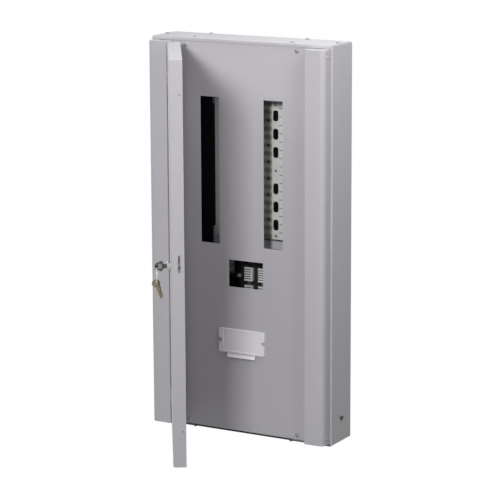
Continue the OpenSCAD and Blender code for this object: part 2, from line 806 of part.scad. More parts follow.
// Blanking plate over the spare opening, with a rim, a finger tab and two clips
module blanking_plate() {
  clip_z = plate_h / 2 - plate_cover - slack;
  color(white_plastic) translate([0, 0, plate_z]) {
    sheet_y(front_y, plate_t) plate_outline();
    sheet_y(front_y - plate_t, plate_rim_t) difference() {
      plate_outline();
      square([plate_w - 2 * (plate_rim_w + plate_notch_w), plate_h - 2 * plate_rim_w], center = true);
    }
    between([-tab_w / 2, front_y - tab_t, -plate_h / 2 - tab_h], [tab_w / 2, front_y, -plate_h / 2]);
    for (s = [-1, 1])
      between([s * (tab_w / 2 - tab_rim_w), front_y - tab_t - tab_rim_t, -plate_h / 2 - tab_h],
              [s * tab_w / 2, front_y - tab_t, -plate_h / 2]);
    between([-tab_w / 2, front_y - tab_t - tab_rim_t, -plate_h / 2 - tab_h],
            [tab_w / 2, front_y - tab_t, -plate_h / 2 - tab_h + tab_rim_w]);
    for (s = [-1, 1]) {
      between([-plate_clip_w / 2, front_y, s * clip_z],
              [plate_clip_w / 2, front_y + plate_clip_d, s * (clip_z - plate_clip_t)]);
      between([-plate_clip_w / 2, panel_back_y + slack, s * (clip_z - plate_clip_t)],
              [plate_clip_w / 2, front_y + plate_clip_d, s * (clip_z + plate_clip_t)]);
    }
  }
}

// Zone of the middle knuckle, with running room at both ends
module middle_zone(z, grow) {
  reach = knuckle_r + leaf_t + slack;
  between([hinge_x - reach, hinge_y - reach, z - knuckle_step / 2 - grow],
          [hinge_x + reach, hinge_y + knuckle_r + slack, z + knuckle_step / 2 + grow]);
}

// A hinge leaf against a wall at wall_x, reaching back from the axis; side points to the wall
module leaf_blank(wall_x, side, z) {
  rod_z(knuckle_r, z - hinge_len / 2, z + hinge_len / 2, hinge_x, hinge_y);
  between([wall_x - side * leaf_t, hinge_y, z - hinge_len / 2], [wall_x, leaf_end_y, z + hinge_len / 2]);
  between([hinge_x, hinge_y, z - hinge_len / 2],
          [wall_x, hinge_y + leaf_t, z + hinge_len / 2]);
}
module leaf_holes(wall_x, z) {
  rod_z(pin_r + play, z - hinge_len / 2 - past, z + hinge_len / 2 + past, hinge_x, hinge_y);
  for (dz = leaf_rivet_zs)
    rod_x(leaf_rivet_d / 2 + play, wall_x - leaf_t - past, wall_x + leaf_t + past, leaf_rivet_y, z + dz);
}

// Leaves on the left wing carry the outer knuckles
module fixed_hinge_leaves() {
  color(zinc) for (z = hinge_zs) difference() {
    leaf_blank(-wing_in_x, -1, z);
    middle_zone(z, slack);
    leaf_holes(-wing_in_x, z);
  }
}

// Leaves on the door carry the middle knuckle
module door_hinge_leaves() {
  color(zinc) on_door() for (z = hinge_zs) difference() {
    leaf_blank(door_left_x, 1, z);
    for (e = [-1, 1]) translate([0, 0, e * knuckle_step]) middle_zone(z, 0);
    leaf_holes(door_left_x, z);
  }
}

// Headed hinge pins
module hinge_pins() {
  color(zinc) for (z = hinge_zs) {
    rod_z(pin_r, z - hinge_len / 2, z + hinge_len / 2, hinge_x, hinge_y);
    for (e = [-1, 1])
      rod_z(pin_head_r, z + e * hinge_len / 2, z + e * (hinge_len / 2 + pin_head_h), hinge_x, hinge_y);
  }
}

// Flat rivets through the leaves, from inside the hinge gap
module leaf_rivets(wall_x, side) {
  for (h = hinge_zs, z = leaf_rivet_zs) {
    rod_x(leaf_rivet_head_d / 2, wall_x - side * (leaf_t + leaf_rivet_head_h), wall_x - side * leaf_t,
          leaf_rivet_y, h + z);
    rod_x(leaf_rivet_d / 2, wall_x - side * leaf_t, wall_x + side * (sheet + leaf_rivet_head_h),
          leaf_rivet_y, h + z);
  }
}
module fixed_leaf_rivets() { color(zinc) leaf_rivets(-wing_in_x, -1); }
module door_leaf_rivets() { color(zinc) on_door() leaf_rivets(door_left_x, 1); }

// A tray shape with round front edges on all four sides, inset by a wall
module door_form(inset, back_y) {
  r = door_edge_r - inset;
  x0 = door_left_x + inset;
  x1 = door_right_x - inset;
  z0 = wing_bottom_z + inset;
  z1 = wing_top_z - inset;
  y0 = face_y + inset;
  intersection() {
    translate([0, 0, z0]) linear_extrude(z1 - z0) front_round(x0, x1, y0, back_y, r, r);
    translate([x1, 0, 0]) rotate([0, -90, 0]) linear_extrude(x1 - x0) front_round(z0, z1, y0, back_y, r, r);
  }
}

// Door tray with the lock hole, the cam's slot and the spare hinge holes
module door_pan() {
  color(steel_paint) on_door() difference() {
    door_form(0, door_back_y);
    door_form(sheet, door_back_y + past);
    rod_y(barrel_d / 2 + play, face_y - past, face_y + sheet + past, lock_x, lock_z);
    between([door_right_x - sheet - past, face_y + cam_depth - cam_slot_w / 2, lock_z - cam_slot_down],
            [door_right_x + past, face_y + cam_depth + cam_slot_w / 2, lock_z + cam_slot_up]);
    for (z = flange_hole_zs)
      rod_x(flange_hole_d / 2, door_right_x - sheet - past, door_right_x + past,
            face_y + flange_hole_back, z);
    for (h = hinge_zs, z = leaf_rivet_zs)
      rod_x(leaf_rivet_d / 2 + play, door_left_x - past, door_left_x + sheet + past, leaf_rivet_y, h + z);
  }
}

// Lock body turned about its own axis, from the front of the head to the end of the barrel
module lock_body() {
  bore = plug_d / 2 + play;
  long = barrel_end_y - lock_front_y;
  color(zinc) on_door() translate([lock_x, lock_front_y, lock_z]) rotate([-90, 0, 0]) rotate_extrude()
    polygon([[bore, 0], [lock_head_d / 2 - lock_chamfer, 0], [lock_head_d / 2, lock_chamfer],
             [lock_head_d / 2, lock_head_h], [barrel_d / 2, lock_head_h],
             [barrel_d / 2, long], [bore, long]]);
}
module lock_nut() {
  inside_y = face_y + sheet;
  color(zinc) on_door() difference() {
    translate([lock_x, inside_y, lock_z]) rotate([-90, 0, 0])
      cylinder(r = lock_nut_r, h = lock_nut_t, $fn = 6);
    rod_y(barrel_d / 2 + play, inside_y - past, inside_y + lock_nut_t + past, lock_x, lock_z);
  }
}

// Turning plug with its keyway and the square that carries the cam
module lock_plug() {
  color(zinc) on_door() difference() {
    union() {
      rod_y(plug_d / 2, lock_front_y + plug_sink, barrel_end_y, lock_x, lock_z);
      between([lock_x - boss_s / 2, barrel_end_y, lock_z - boss_s / 2],
              [lock_x + boss_s / 2, cam_back_y, lock_z + boss_s / 2]);
    }
    between([lock_x - keyway_w / 2, lock_front_y, lock_z - keyway_h / 2],
            [lock_x + keyway_w / 2, lock_front_y + key_blade_l + past, lock_z + keyway_h / 2]);
    rod_y(cam_screw_d / 2 + play, barrel_end_y - cam_head_h, cam_back_y + past, lock_x, lock_z);
  }
}

// Cam that turns from upright, where it is free, to the wing's slot
module lock_cam() {
  arm = cam_reach - cam_nose_r;
  hole = boss_s + 2 * play;
  color(zinc) on_door() translate([lock_x, 0, lock_z]) sheet_y(cam_back_y, cam_t) difference() {
    union() {
      circle(cam_hub_r);
      translate([-cam_nose_r, 0]) square([cam_w, arm]);
      translate([0, arm]) circle(cam_nose_r);
    }
    square([hole, hole], center = true);
  }
}
module cam_screw() {
  color(zinc) on_door() {
    rod_y(cam_head_d / 2, cam_back_y, cam_back_y + cam_head_h, lock_x, lock_z);
    rod_y(cam_screw_d / 2, barrel_end_y, cam_back_y, lock_x, lock_z);
  }
}

// Key in the lock: bow outline in Y and Z, measured outwards from the lock's front
module key() {
  start = lock_front_y - key_gap;
  color(zinc) on_door() translate([0, 0, lock_z]) {
    sheet_x(lock_x - key_t / 2, key_t) difference() {
      union() {
        translate([start - key_bow_at, 0]) circle(key_bow_r);
        for (s = [-1, 1])
          translate([start - key_neck_l - key_lobe_r, s * key_lobe_up]) circle(key_lobe_r);
        translate([start - key_neck_l - key_lobe_r, -key_neck_h / 2])
          square([key_neck_l + key_lobe_r, key_neck_h]);
      }
      translate([start - key_hole_at, 0]) circle(key_hole_r);
    }
    difference() {
      between([lock_x - key_t / 2, start, -key_blade_h / 2],
              [lock_x + key_t / 2, start + key_blade_l, key_blade_h / 2]);
      for (k = [1:key_cut_n]) translate([lock_x, start + k * key_cut_pitch, -key_blade_h / 2])
        rotate([45, 0, 0]) cube([key_t + 2 * past, key_cut_s, key_cut_s], center = true);
    }
  }
}

// Wire ring through the key's bow, hanging parallel to the door
module key_ring() {
  color(zinc) on_door() translate([lock_x, ring_y, ring_z]) rotate([90, 0, 0])
    rotate_extrude() translate([ring_mid_r, 0]) circle(ring_r);
}

// Spare key on the ring, hanging by a hole beside its middle
module spare_key() {
  color(brass) on_door() translate([lock_x, ring_y, spare_pivot_z]) rotate([spare_tilt, 0, 0])
    translate([0, 0, -hang]) sheet_x(-key_t / 2, key_t) difference() {
      union() {
        translate([-spare_bow_side, -spare_bow_drop]) circle(spare_bow_r);
        translate([-spare_bow_side - key_blade_h / 2, spare_tip])
          square([key_blade_h, spare_blade_l + spare_bow_r]);
      }
      circle(key_hole_r);
      for (k = [1:key_cut_n])
        translate([-spare_bow_side + key_blade_h / 2, spare_tip + k * key_cut_pitch])
          rotate(45) square(key_cut_s, center = true);
    }
}

// Tray of the pan, standing off the back of the box
module pan_tray() {
  color(dark) difference() {
    between([-tray_w / 2, tray_front_y, tray_bottom], [tray_w / 2, -tray_gap, tray_top]);
    for (s = [-1, 1], z = standoff_zs)
      rod_y(tray_screw_d / 2 + play, tray_front_y - past, past - tray_gap, s * standoff_x, z);
    for (x = carrier_screw_xs)
      rod_y(tray_screw_d / 2 + play, tray_front_y - past, past - tray_gap, x, carrier_screw_z);
    for (s = [-1, 1], z = bracket_screw_zs)
      rod_y(tray_screw_d / 2 + play, tray_front_y - past, past - tray_gap, s * bracket_screw_x, z);
  }
}
module pan_standoffs() {
  color(zinc) for (s = [-1, 1], z = standoff_zs) difference() {
    rod_y(standoff_r, -tray_gap, -sheet, s * standoff_x, z);
    rod_y(tray_screw_d / 2 + play, -tray_gap - past, -sheet - standoff_floor, s * standoff_x, z);
  }
}
module pan_screw(x, y, z, long) {
  rod_y(tray_head_d / 2, y - tray_head_h, y, x, z);
  rod_y(tray_screw_d / 2, y, y + long, x, z);
}
module pan_screws() {
  color(zinc) {
    for (s = [-1, 1], z = standoff_zs)
      pan_screw(s * standoff_x, tray_front_y, z, sheet + tray_gap / 2);
    for (x = carrier_screw_xs)
      pan_screw(x, tray_front_y - carrier_foot_t, carrier_screw_z, carrier_foot_t + sheet);
    for (s = [-1, 1], z = bracket_screw_zs)
      pan_screw(s * bracket_screw_x, tray_front_y - sheet, z, 2 * sheet);
  }
}

// A bridge of folded steel that carries the ends of the moulded strips
module pan_bracket(z0, z1) {
  leg_x = bracket_half_w;
  color(zinc) difference() {
    union() {
      between([-leg_x, strip_back_y, z0], [leg_x, strip_back_y + sheet, z1]);
      for (s = [-1, 1]) {
        between([s * (leg_x - sheet), strip_back_y, z0], [s * leg_x, tray_front_y, z1]);
        between([s * (leg_x - sheet), tray_front_y - sheet, z0],
                [s * (leg_x + bracket_foot_w), tray_front_y, z1]);
      }
    }
    for (s = [-1, 1], z = strip_screw_zs)
      rod_y(strip_screw_d / 2 + play, strip_back_y - past, strip_back_y + sheet + past, s * socket_x, z);
    for (s = [-1, 1], z = bracket_screw_zs)
      rod_y(tray_screw_d / 2 + play, tray_front_y - sheet - past, tray_front_y + past,
            s * bracket_screw_x, z);
  }
}
module upper_pan_bracket() { pan_bracket(strip_high_z - bracket_lap, strip_high_z + bracket_show); }
module lower_pan_bracket() { pan_bracket(strip_low_z - bracket_show, strip_low_z + bracket_lap); }

// A phase bar with its tap fingers on both sides and its arm to the incoming terminal
function bar_y(k) = bar_front_y + k * bar_pitch;
module busbar(k) {
  y0 = bar_y(k);
  arm_top = bar_low_z + arm_h;
  color(copper) {
    between([-bar_w / 2, y0, bar_low_z], [bar_w / 2, y0 + bar_t, bar_high_z]);
    for (i = [0:len(socket_steps) - 1]) if (i % phases == k) {
      z = strip_mid + socket_steps[i] * socket_pitch;
      between([-finger_end_x, y0, z - finger_h / 2], [finger_end_x, y0 + finger_t, z + finger_h / 2]);
    }
    between([min(0, terminal_xs[k] - arm_h / 2), y0, bar_low_z],
            [max(0, terminal_xs[k] + arm_h / 2), y0 + bar_t, arm_top]);
    between([terminal_xs[k] - arm_h / 2, y0, terminal_z - arm_h / 2],
            [terminal_xs[k] + arm_h / 2, y0 + bar_t, arm_top]);
  }
}
module busbar_l1() { busbar(0); }
module busbar_l2() { busbar(1); }
module busbar_l3() { busbar(2); }

// Moulded supports hold the three bars apart, and the middle one carries the strips too
module busbar_support(z, half_w) {
  difference() {
    between([-half_w, strip_back_y, z - support_t / 2], [half_w, tray_front_y, z + support_t / 2]);
    for (k = [0:phases - 1])
      between([-bar_w / 2 - play, bar_y(k) - play, z - support_t],
              [bar_w / 2 + play, bar_y(k) + bar_t + play, z + support_t]);
    for (s = [-1, 1])
      rod_y(strip_screw_d / 2 + play, strip_back_y - past, strip_back_y + support_bore, s * socket_x, z);
  }
}
module busbar_supports() {
  color(dark) {
    busbar_support(strip_mid, support_wide_w);
    for (s = [-1, 1]) busbar_support(strip_mid + s * support_spread, support_half_w);
  }
}

// Shroud over the bars, with a row of small test holes near each edge
module busbar_shroud() {
  wall_low = strip_low_z + bracket_lap + slack;
  wall_high = strip_high_z - bracket_lap - slack;
  color(shroud_grey) difference() {
    union() {
      between([-strip_in, pan_y, strip_low_z], [strip_in, pan_y + shroud_t, strip_high_z]);
      for (s = [-1, 1])
        between([s * (strip_in - shroud_t), pan_y, wall_low],
                [s * strip_in, bar_front_y - shroud_t, wall_high]);
    }
    for (s = [-1, 1], e = [-1, 1], k = dot_steps)
      rod_y(dot_r, pan_y - past, pan_y + shroud_t + past, s * dot_x, strip_mid + e * k * module_w);
    between([-strip_in - past, strip_back_y - slack, strip_mid - support_t / 2 - slack],
            [strip_in + past, bar_front_y, strip_mid + support_t / 2 + slack]);
  }
}

// Outline of a tap socket
module socket_outline(grow) {
  soft_rect(socket_w + 2 * grow, socket_h + 2 * grow, socket_r + grow);
}

// A moulded strip with sockets and module ticks, drawn on the right
module device_strip() {
  difference() {
    union() {
      between([strip_in, pan_y, strip_low_z], [strip_out, strip_back_y, strip_high_z]);
      between([strip_out - strip_wall_t, strip_back_y, strip_low_z + bracket_lap + slack],
              [strip_out, strip_back_y + strip_wall_d, strip_high_z - bracket_lap - slack]);
    }
    for (k = socket_steps) translate([socket_x, 0, strip_mid + k * socket_pitch])
      sheet_y(strip_back_y + past, strip_t + 2 * past) socket_outline(play);
    for (k = [0:tick_n - 1]) {
      z = strip_mid + (k - (tick_n - 1) / 2) * module_w;
      between([tick_x - tick_l, pan_y - past, z - tick_w / 2],
              [tick_x, strip_back_y - tick_floor, z + tick_w / 2]);
    }
    for (z = strip_screw_zs)
      rod_y(strip_screw_d / 2 + play, pan_y - past, strip_back_y + past, socket_x, z);
  }
}
module left_device_strip() { color(white_plastic) mirror([1, 0, 0]) device_strip(); }
module right_device_strip() { color(white_plastic) device_strip(); }

// Black sockets around the tap fingers, drawn on the right
module tap_sockets() {
  for (i = [0:len(socket_steps) - 1]) {
    z = strip_mid + socket_steps[i] * socket_pitch;
    y0 = bar_y(i % phases);
    difference() {
      translate([socket_x, 0, z]) sheet_y(tray_front_y, tray_front_y - pan_y - socket_sink)
        socket_outline(0);
      between([socket_x - socket_slot_w / 2, pan_y, z - socket_slot_h / 2],
              [socket_x + socket_slot_w / 2, y0, z + socket_slot_h / 2]);
      between([socket_x - socket_w, y0 - play, z - finger_h / 2 - play],
              [finger_end_x + play, y0 + finger_t + play, z + finger_h / 2 + play]);
    }
  }
}
module left_tap_sockets() { color(dark) mirror([1, 0, 0]) tap_sockets(); }
module right_tap_sockets() { color(dark) tap_sockets(); }

// Screws that hold the strips to the brackets and the middle support
module strip_screws() {
  color(zinc) for (s = [-1, 1], z = strip_screw_zs) {
    rod_y(strip_head_d / 2, pan_y - strip_head_h, pan_y, s * socket_x, z);
    rod_y(strip_screw_d / 2, pan_y, strip_back_y + sheet, s * socket_x, z);
  }
}

// A terminal bar with a row of wire holes and screw holes, standing on two posts
module rail_bar(z) {
  mid_y = (rail_back_face_y + rail_face_y) / 2;
  color(brass) difference() {
    between([-rail_bar_l / 2, rail_face_y, z - rail_bar_s / 2],
            [rail_bar_l / 2, rail_back_face_y, z + rail_bar_s / 2]);
    for (x = rail_screw_xs) {
      rod_z(rail_wire_r, z - rail_bar_s, z + rail_bar_s, x, mid_y);
      rod_y(rail_screw_d / 2 + play, rail_face_y - past, mid_y, x, z);
    }
    for (s = [-1, 1])
      rod_y(post_screw_d / 2 + play, rail_face_y - past, rail_back_face_y + past, s * post_x, z);
  }
}
module rail_posts(z) {
  for (s = [-1, 1]) difference() {
    between([s * post_x - post_w / 2, rail_back_face_y, z - post_w / 2],
            [s * post_x + post_w / 2, -sheet, z + post_w / 2]);
    rod_y(post_screw_d / 2 + play, rail_back_face_y - past, past, s * post_x, z);
  }
}

// Wire screws along a terminal bar, and a long screw through each post into the back of the box
module rail_screws(z) {
  screw_end_y = (rail_back_face_y + rail_face_y) / 2 - rail_wire_r;
  color(zinc) {
    for (x = rail_screw_xs)
      rod_y(rail_screw_d / 2, rail_face_y - rail_screw_h, screw_end_y, x, z);
    for (s = [-1, 1]) {
      rod_y(post_head_d / 2, rail_face_y - post_head_h, rail_face_y, s * post_x, z);
      rod_y(post_screw_d / 2, rail_face_y, -slack, s * post_x, z);
    }
  }
}
module neutral_bar() { rail_bar(neutral_z); }
module neutral_supports() { color(dark) rail_posts(neutral_z); }
module neutral_screws() { rail_screws(neutral_z); }
module earth_bar() { rail_bar(earth_z); }
module earth_supports() { color(zinc) rail_posts(earth_z); }
module earth_screws() { rail_screws(earth_z); }

// Dark bridge in front of the bars' arms, with two feet on the tray
module incomer_carrier() {
  color(dark) difference() {
    union() {
      between([carrier_low_x, carrier_front_y, carrier_bottom_z],
              [carrier_high_x, carrier_front_y + carrier_t, carrier_top_z]);
      for (x = [carrier_low_x, carrier_high_x - carrier_t])
        between([x, carrier_front_y, carrier_bottom_z], [x + carrier_t, tray_front_y, carrier_top_z]);
      for (x = [carrier_low_x - carrier_foot_w, carrier_high_x])
        between([x, tray_front_y - carrier_foot_t, carrier_bottom_z],
                [x + carrier_foot_w, tray_front_y, carrier_top_z]);
    }
    for (x = terminal_xs)
      rod_y(stud_r + play, carrier_front_y - past, carrier_front_y + carrier_t + past, x, terminal_z);
    for (x = carrier_screw_xs)
      rod_y(tray_screw_d / 2 + play, tray_front_y - carrier_foot_t - past, tray_front_y + past,
            x, carrier_screw_z);
  }
}

// White blocks above and below each terminal, cut with cross ribs
module incomer_blocks() {
  rib_pitch = block_h / (rib_count + 1);
  color(white_plastic) for (x = terminal_xs, e = [-1, 1]) {
    low_z = terminal_z + e * (block_gap + block_h) / 2 - block_h / 2;
    face = carrier_front_y - block_d;
    difference() {
      between([x - block_w / 2, face, low_z], [x + block_w / 2, carrier_front_y, low_z + block_h]);
      for (k = [1:rib_count])
        between([x - block_w / 2 - past, face - past, low_z + k * rib_pitch - rib_h / 2],
                [x + block_w / 2 - rib_border, face + rib_d, low_z + k * rib_pitch + rib_h / 2]);
    }
  }
}

// Studs from each bar's arm through the carrier
module incomer_studs() {
  color(zinc) for (k = [0:phases - 1])
    rod_y(stud_r, carrier_front_y - stud_show, bar_y(k), terminal_xs[k], terminal_z);
}

body_shell();
upper_cross_rail();
lower_cross_rail();
top_end_plate();
bottom_end_plate();
top_end_screws();
bottom_end_screws();
left_wing();
right_wing();
left_wing_caps();
right_wing_caps();
wing_cap_screws();
wing_rivets();
front_panel();
panel_screws();
blanking_plate();
side_earth_bolt();
side_earth_nut();
fixed_hinge_leaves();
hinge_pins();
fixed_leaf_rivets();
pan_tray();
pan_standoffs();
pan_screws();
upper_pan_bracket();
lower_pan_bracket();
busbar_l1();
busbar_l2();
busbar_l3();
busbar_supports();
busbar_shroud();
left_device_strip();
right_device_strip();
left_tap_sockets();
right_tap_sockets();
strip_screws();
neutral_bar();
neutral_supports();
neutral_screws();
earth_bar();
earth_supports();
earth_screws();
incomer_carrier();
incomer_blocks();
incomer_studs();
door_pan();
door_hinge_leaves();
door_leaf_rivets();
lock_body();
lock_nut();
lock_plug();
lock_cam();
cam_screw();
key();
key_ring();
spare_key();
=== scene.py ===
# %% [markdown]
# # A wall-hung distribution enclosure
# The box, its door and everything inside arrive as measured solids, already in place and in metres.
# This lesson dresses them: it softens the folded edges, cuts the screw heads, winds the key ring,
# and gives each metal and plastic its own finish. Loading comes first, because every later step
# takes its places from the solids.

# %% Load the measured solids
import json
import math

import bmesh
import bpy
from mathutils import Matrix, Vector

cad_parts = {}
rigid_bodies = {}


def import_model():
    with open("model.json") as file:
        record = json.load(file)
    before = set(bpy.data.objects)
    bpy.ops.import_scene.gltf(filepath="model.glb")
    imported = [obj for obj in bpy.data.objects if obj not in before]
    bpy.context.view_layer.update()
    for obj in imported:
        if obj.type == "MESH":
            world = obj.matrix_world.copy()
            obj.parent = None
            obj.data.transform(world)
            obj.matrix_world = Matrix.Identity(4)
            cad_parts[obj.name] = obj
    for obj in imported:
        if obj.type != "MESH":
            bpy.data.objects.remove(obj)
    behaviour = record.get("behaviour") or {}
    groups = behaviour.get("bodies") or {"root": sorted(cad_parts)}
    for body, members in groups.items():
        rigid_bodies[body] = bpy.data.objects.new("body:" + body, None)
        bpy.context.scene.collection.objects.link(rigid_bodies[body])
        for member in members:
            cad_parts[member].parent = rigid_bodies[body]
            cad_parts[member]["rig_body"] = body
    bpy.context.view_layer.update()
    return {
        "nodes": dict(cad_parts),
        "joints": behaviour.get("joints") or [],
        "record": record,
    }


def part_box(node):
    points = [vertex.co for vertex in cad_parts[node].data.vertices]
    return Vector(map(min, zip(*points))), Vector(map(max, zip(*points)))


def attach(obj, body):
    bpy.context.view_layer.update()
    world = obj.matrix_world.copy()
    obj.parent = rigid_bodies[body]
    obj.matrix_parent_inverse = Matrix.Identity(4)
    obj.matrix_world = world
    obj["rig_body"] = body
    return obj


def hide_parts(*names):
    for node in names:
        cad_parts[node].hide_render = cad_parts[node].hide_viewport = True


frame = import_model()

MM = 0.001
nodes = frame["nodes"]
joints = {joint["name"]: joint for joint in frame["joints"]}
slot_of = {row["node"]: row["material_slot"] for row in frame["record"]["subparts"]}


# %% [markdown]
# ## Effects that several finishes share
# Paint, plastic and plated steel all show a fine skin, a slow change of tone, edges lighter from rubbing
# and from a painted highlight, and a little dust on their upper faces. Each could be drawn again in every
# material. A node group with named sockets is built once instead, and each material places it with its own
# values.

# %% Helpers for node groups
FLOAT = "NodeSocketFloat"
COLOUR = "NodeSocketColor"
VECTOR = "NodeSocketVector"


def new_group(name, inputs, outputs):
    """A shader node group with inputs (name, type, default) and outputs (name, type)."""
    group = bpy.data.node_groups.new(name, "ShaderNodeTree")
    for label, kind, value in inputs:
        socket = group.interface.new_socket(label, in_out="INPUT", socket_type=kind)
        socket.default_value = value
    for label, kind in outputs:
        group.interface.new_socket(label, in_out="OUTPUT", socket_type=kind)
    enter = group.nodes.new("NodeGroupInput")
    leave = group.nodes.new("NodeGroupOutput")
    return group, enter.outputs, leave.inputs


def add(tree, kind, **settings):
    """A new shader node with the given settings."""
    node = tree.nodes.new("ShaderNode" + kind)
    for label, value in settings.items():
        setattr(node, label, value)
    return node


def math_node(tree, operation, first, second):
    """A clamped math node fed by sockets or plain numbers; gives back its output."""
    node = add(tree, "Math", operation=operation, use_clamp=True)
    for socket, source in zip(node.inputs, (first, second)):
        if isinstance(source, (int, float)):
            socket.default_value = source
        else:
            tree.links.new(source, socket)
    return node.outputs[0]


def noise(tree, scale, detail, vector=None):
    """A noise over the piece's own coordinates; scale is a socket."""
    node = add(tree, "TexNoise")
    node.inputs["Detail"].default_value = detail
    tree.links.new(scale, node.inputs["Scale"])
    place = vector or add(tree, "TexCoord").outputs["Object"]
    tree.links.new(place, node.inputs["Vector"])
    return node.outputs["Fac"]


print("node helpers ready in Blender", bpy.app.version_string)


# %% [markdown]
# Powder coat dries to a faint orange-peel skin, and a moulding shows the spark-eroded skin of its
# tool. Noise at about a millimetre gives both as a bump. A second, much larger noise shifts tone and
# gloss slowly, as paint thickness and handling do. Stretching the fine noise along Z turns it into
# the lines of drawn bar.

# %% Group: skin
def build_skin(grain_height=0.3 * MM):
    """Mottle, gloss and a fine bump from two noises."""
    group, enter, leave = new_group(
        "skin",
        [("Grain Scale", FLOAT, 900.0), ("Mottle Scale", FLOAT, 9.0), ("Stretch", FLOAT, 1.0),
         ("Rough Low", FLOAT, 0.4), ("Rough High", FLOAT, 0.5), ("Depth", FLOAT, 0.2)],
        [("Mottle", FLOAT), ("Roughness", FLOAT), ("Normal", VECTOR)])
    links = group.links
    scale = add(group, "CombineXYZ")
    scale.inputs["X"].default_value = 1.0
    scale.inputs["Y"].default_value = 1.0
    links.new(enter["Stretch"], scale.inputs["Z"])
    stretched = add(group, "Mapping")
    links.new(add(group, "TexCoord").outputs["Object"], stretched.inputs["Vector"])
    links.new(scale.outputs[0], stretched.inputs["Scale"])
    grain = noise(group, enter["Grain Scale"], detail=3.0, vector=stretched.outputs[0])
    mottle = noise(group, enter["Mottle Scale"], detail=5.0)
    gloss = add(group, "MapRange")
    links.new(mottle, gloss.inputs["Value"])
    links.new(enter["Rough Low"], gloss.inputs["To Min"])
    links.new(enter["Rough High"], gloss.inputs["To Max"])
    bump = add(group, "Bump")
    bump.inputs["Distance"].default_value = grain_height
    links.new(enter["Depth"], bump.inputs["Strength"])
    links.new(grain, bump.inputs["Height"])
    links.new(mottle, leave["Mottle"])
    links.new(gloss.outputs["Result"], leave["Roughness"])
    links.new(bump.outputs["Normal"], leave["Normal"])
    return group


skin = build_skin()
print("group skin:", len(skin.nodes), "nodes")


# %% [markdown]
# Edges are rubbed first, by hands and by neighbouring boxes, and their lighter tone is also a painted
# highlight, where a rounded edge would catch the light. Comparing the true normal with one that is rounded
# over a small radius finds them, on flat sheet as well as on mouldings, and a noise breaks the line so that
# it does not look drawn. Dust settles where the surface looks up.

# %% Group: worn tones
def blend(tree, mask, first, second):
    """Mixes two colour sockets by a mask socket."""
    mix = add(tree, "Mix", data_type="RGBA")
    sockets = {socket.name: socket for socket in mix.inputs if socket.type == "RGBA"}
    tree.links.new(mask, mix.inputs["Factor"])
    tree.links.new(first, sockets["A"])
    tree.links.new(second, sockets["B"])
    return [socket for socket in mix.outputs if socket.type == "RGBA"][0]


def build_worn_and_highlit_tones():
    """Two tones by the mottle, with rubbed edges that carry a painted highlight, and dust on top."""
    white = (1, 1, 1, 1)
    group, enter, leave = new_group(
        "worn_and_highlit_tones",
        [("Mottle", FLOAT, 0.5), ("Tone", COLOUR, white), ("Second Tone", COLOUR, white),
         ("Rubbed And Highlit", COLOUR, white), ("Dusty", COLOUR, white), ("Rub Radius", FLOAT, 0.0012),
         ("Rub", FLOAT, 2.5), ("Dust", FLOAT, 0.3), ("Patch Scale", FLOAT, 40.0)],
        [("Colour", COLOUR)])
    links = group.links
    true = add(group, "NewGeometry")
    rounded = add(group, "Bevel", samples=4)
    links.new(enter["Rub Radius"], rounded.inputs["Radius"])
    along = add(group, "VectorMath", operation="DOT_PRODUCT")
    links.new(rounded.outputs[0], along.inputs[0])
    links.new(true.outputs["Normal"], along.inputs[1])
    patches = noise(group, enter["Patch Scale"], detail=6.0)
    # Lighter edges: rubbed wear, and a painted highlight where the edge turns
    bend = math_node(group, "SUBTRACT", 1.0, along.outputs["Value"])
    edge = math_node(group, "MULTIPLY", bend, enter["Rub"])
    rub_and_highlight = math_node(group, "MULTIPLY", edge, patches)
    split = add(group, "SeparateXYZ")
    links.new(true.outputs["Normal"], split.inputs[0])
    upward = math_node(group, "MULTIPLY", split.outputs["Z"], enter["Dust"])
    dust = math_node(group, "MULTIPLY", upward, patches)
    colour = blend(group, enter["Mottle"], enter["Tone"], enter["Second Tone"])
    colour = blend(group, rub_and_highlight, colour, enter["Rubbed And Highlit"])
    colour = blend(group, dust, colour, enter["Dusty"])
    links.new(colour, leave["Colour"])
    return group


worn_and_highlit_tones = build_worn_and_highlit_tones()
print("group worn_and_highlit_tones:", len(worn_and_highlit_tones.nodes), "nodes")


# %% [markdown]
# The narrow grooves and marks in the white mouldings are painted darker, as painted shade, for the little
# light that comes back out of them. Painting them by hand would need a map for each moulding. All of them are
# sunk from a flat front, so the depth behind that front picks them out. Faces that look sideways are left
# clean, or the outer sides of a moulding would darken too.

# %% Group: sunken shade
def build_sunken_shade(steepness=900.0):
    """Paints shade on what lies behind a front; the painted shade is full at 1 / steepness metres."""
    group, enter, leave = new_group(
        "sunken_shade",
        [("Colour", COLOUR, (1, 1, 1, 1)), ("Groove Shade", COLOUR, (0, 0, 0, 1)), ("Front", FLOAT, 0.0)],
        [("Colour", COLOUR)])
    links = group.links
    place = add(group, "SeparateXYZ")
    facing = add(group, "SeparateXYZ")
    links.new(add(group, "TexCoord").outputs["Object"], place.inputs[0])
    links.new(add(group, "NewGeometry").outputs["Normal"], facing.inputs[0])
    behind = math_node(group, "SUBTRACT", place.outputs["Y"], enter["Front"])
    deep = math_node(group, "MULTIPLY", behind, steepness)
    sideways = math_node(group, "ABSOLUTE", facing.outputs["X"], 0.0)
    forward = math_node(group, "SUBTRACT", 1.0, sideways)
    mask = math_node(group, "MULTIPLY", deep, forward)
    links.new(blend(group, mask, enter["Colour"], enter["Groove Shade"]), leave["Colour"])
    return group


sunken_shade = build_sunken_shade()
print("group sunken_shade:", len(sunken_shade.nodes), "nodes")
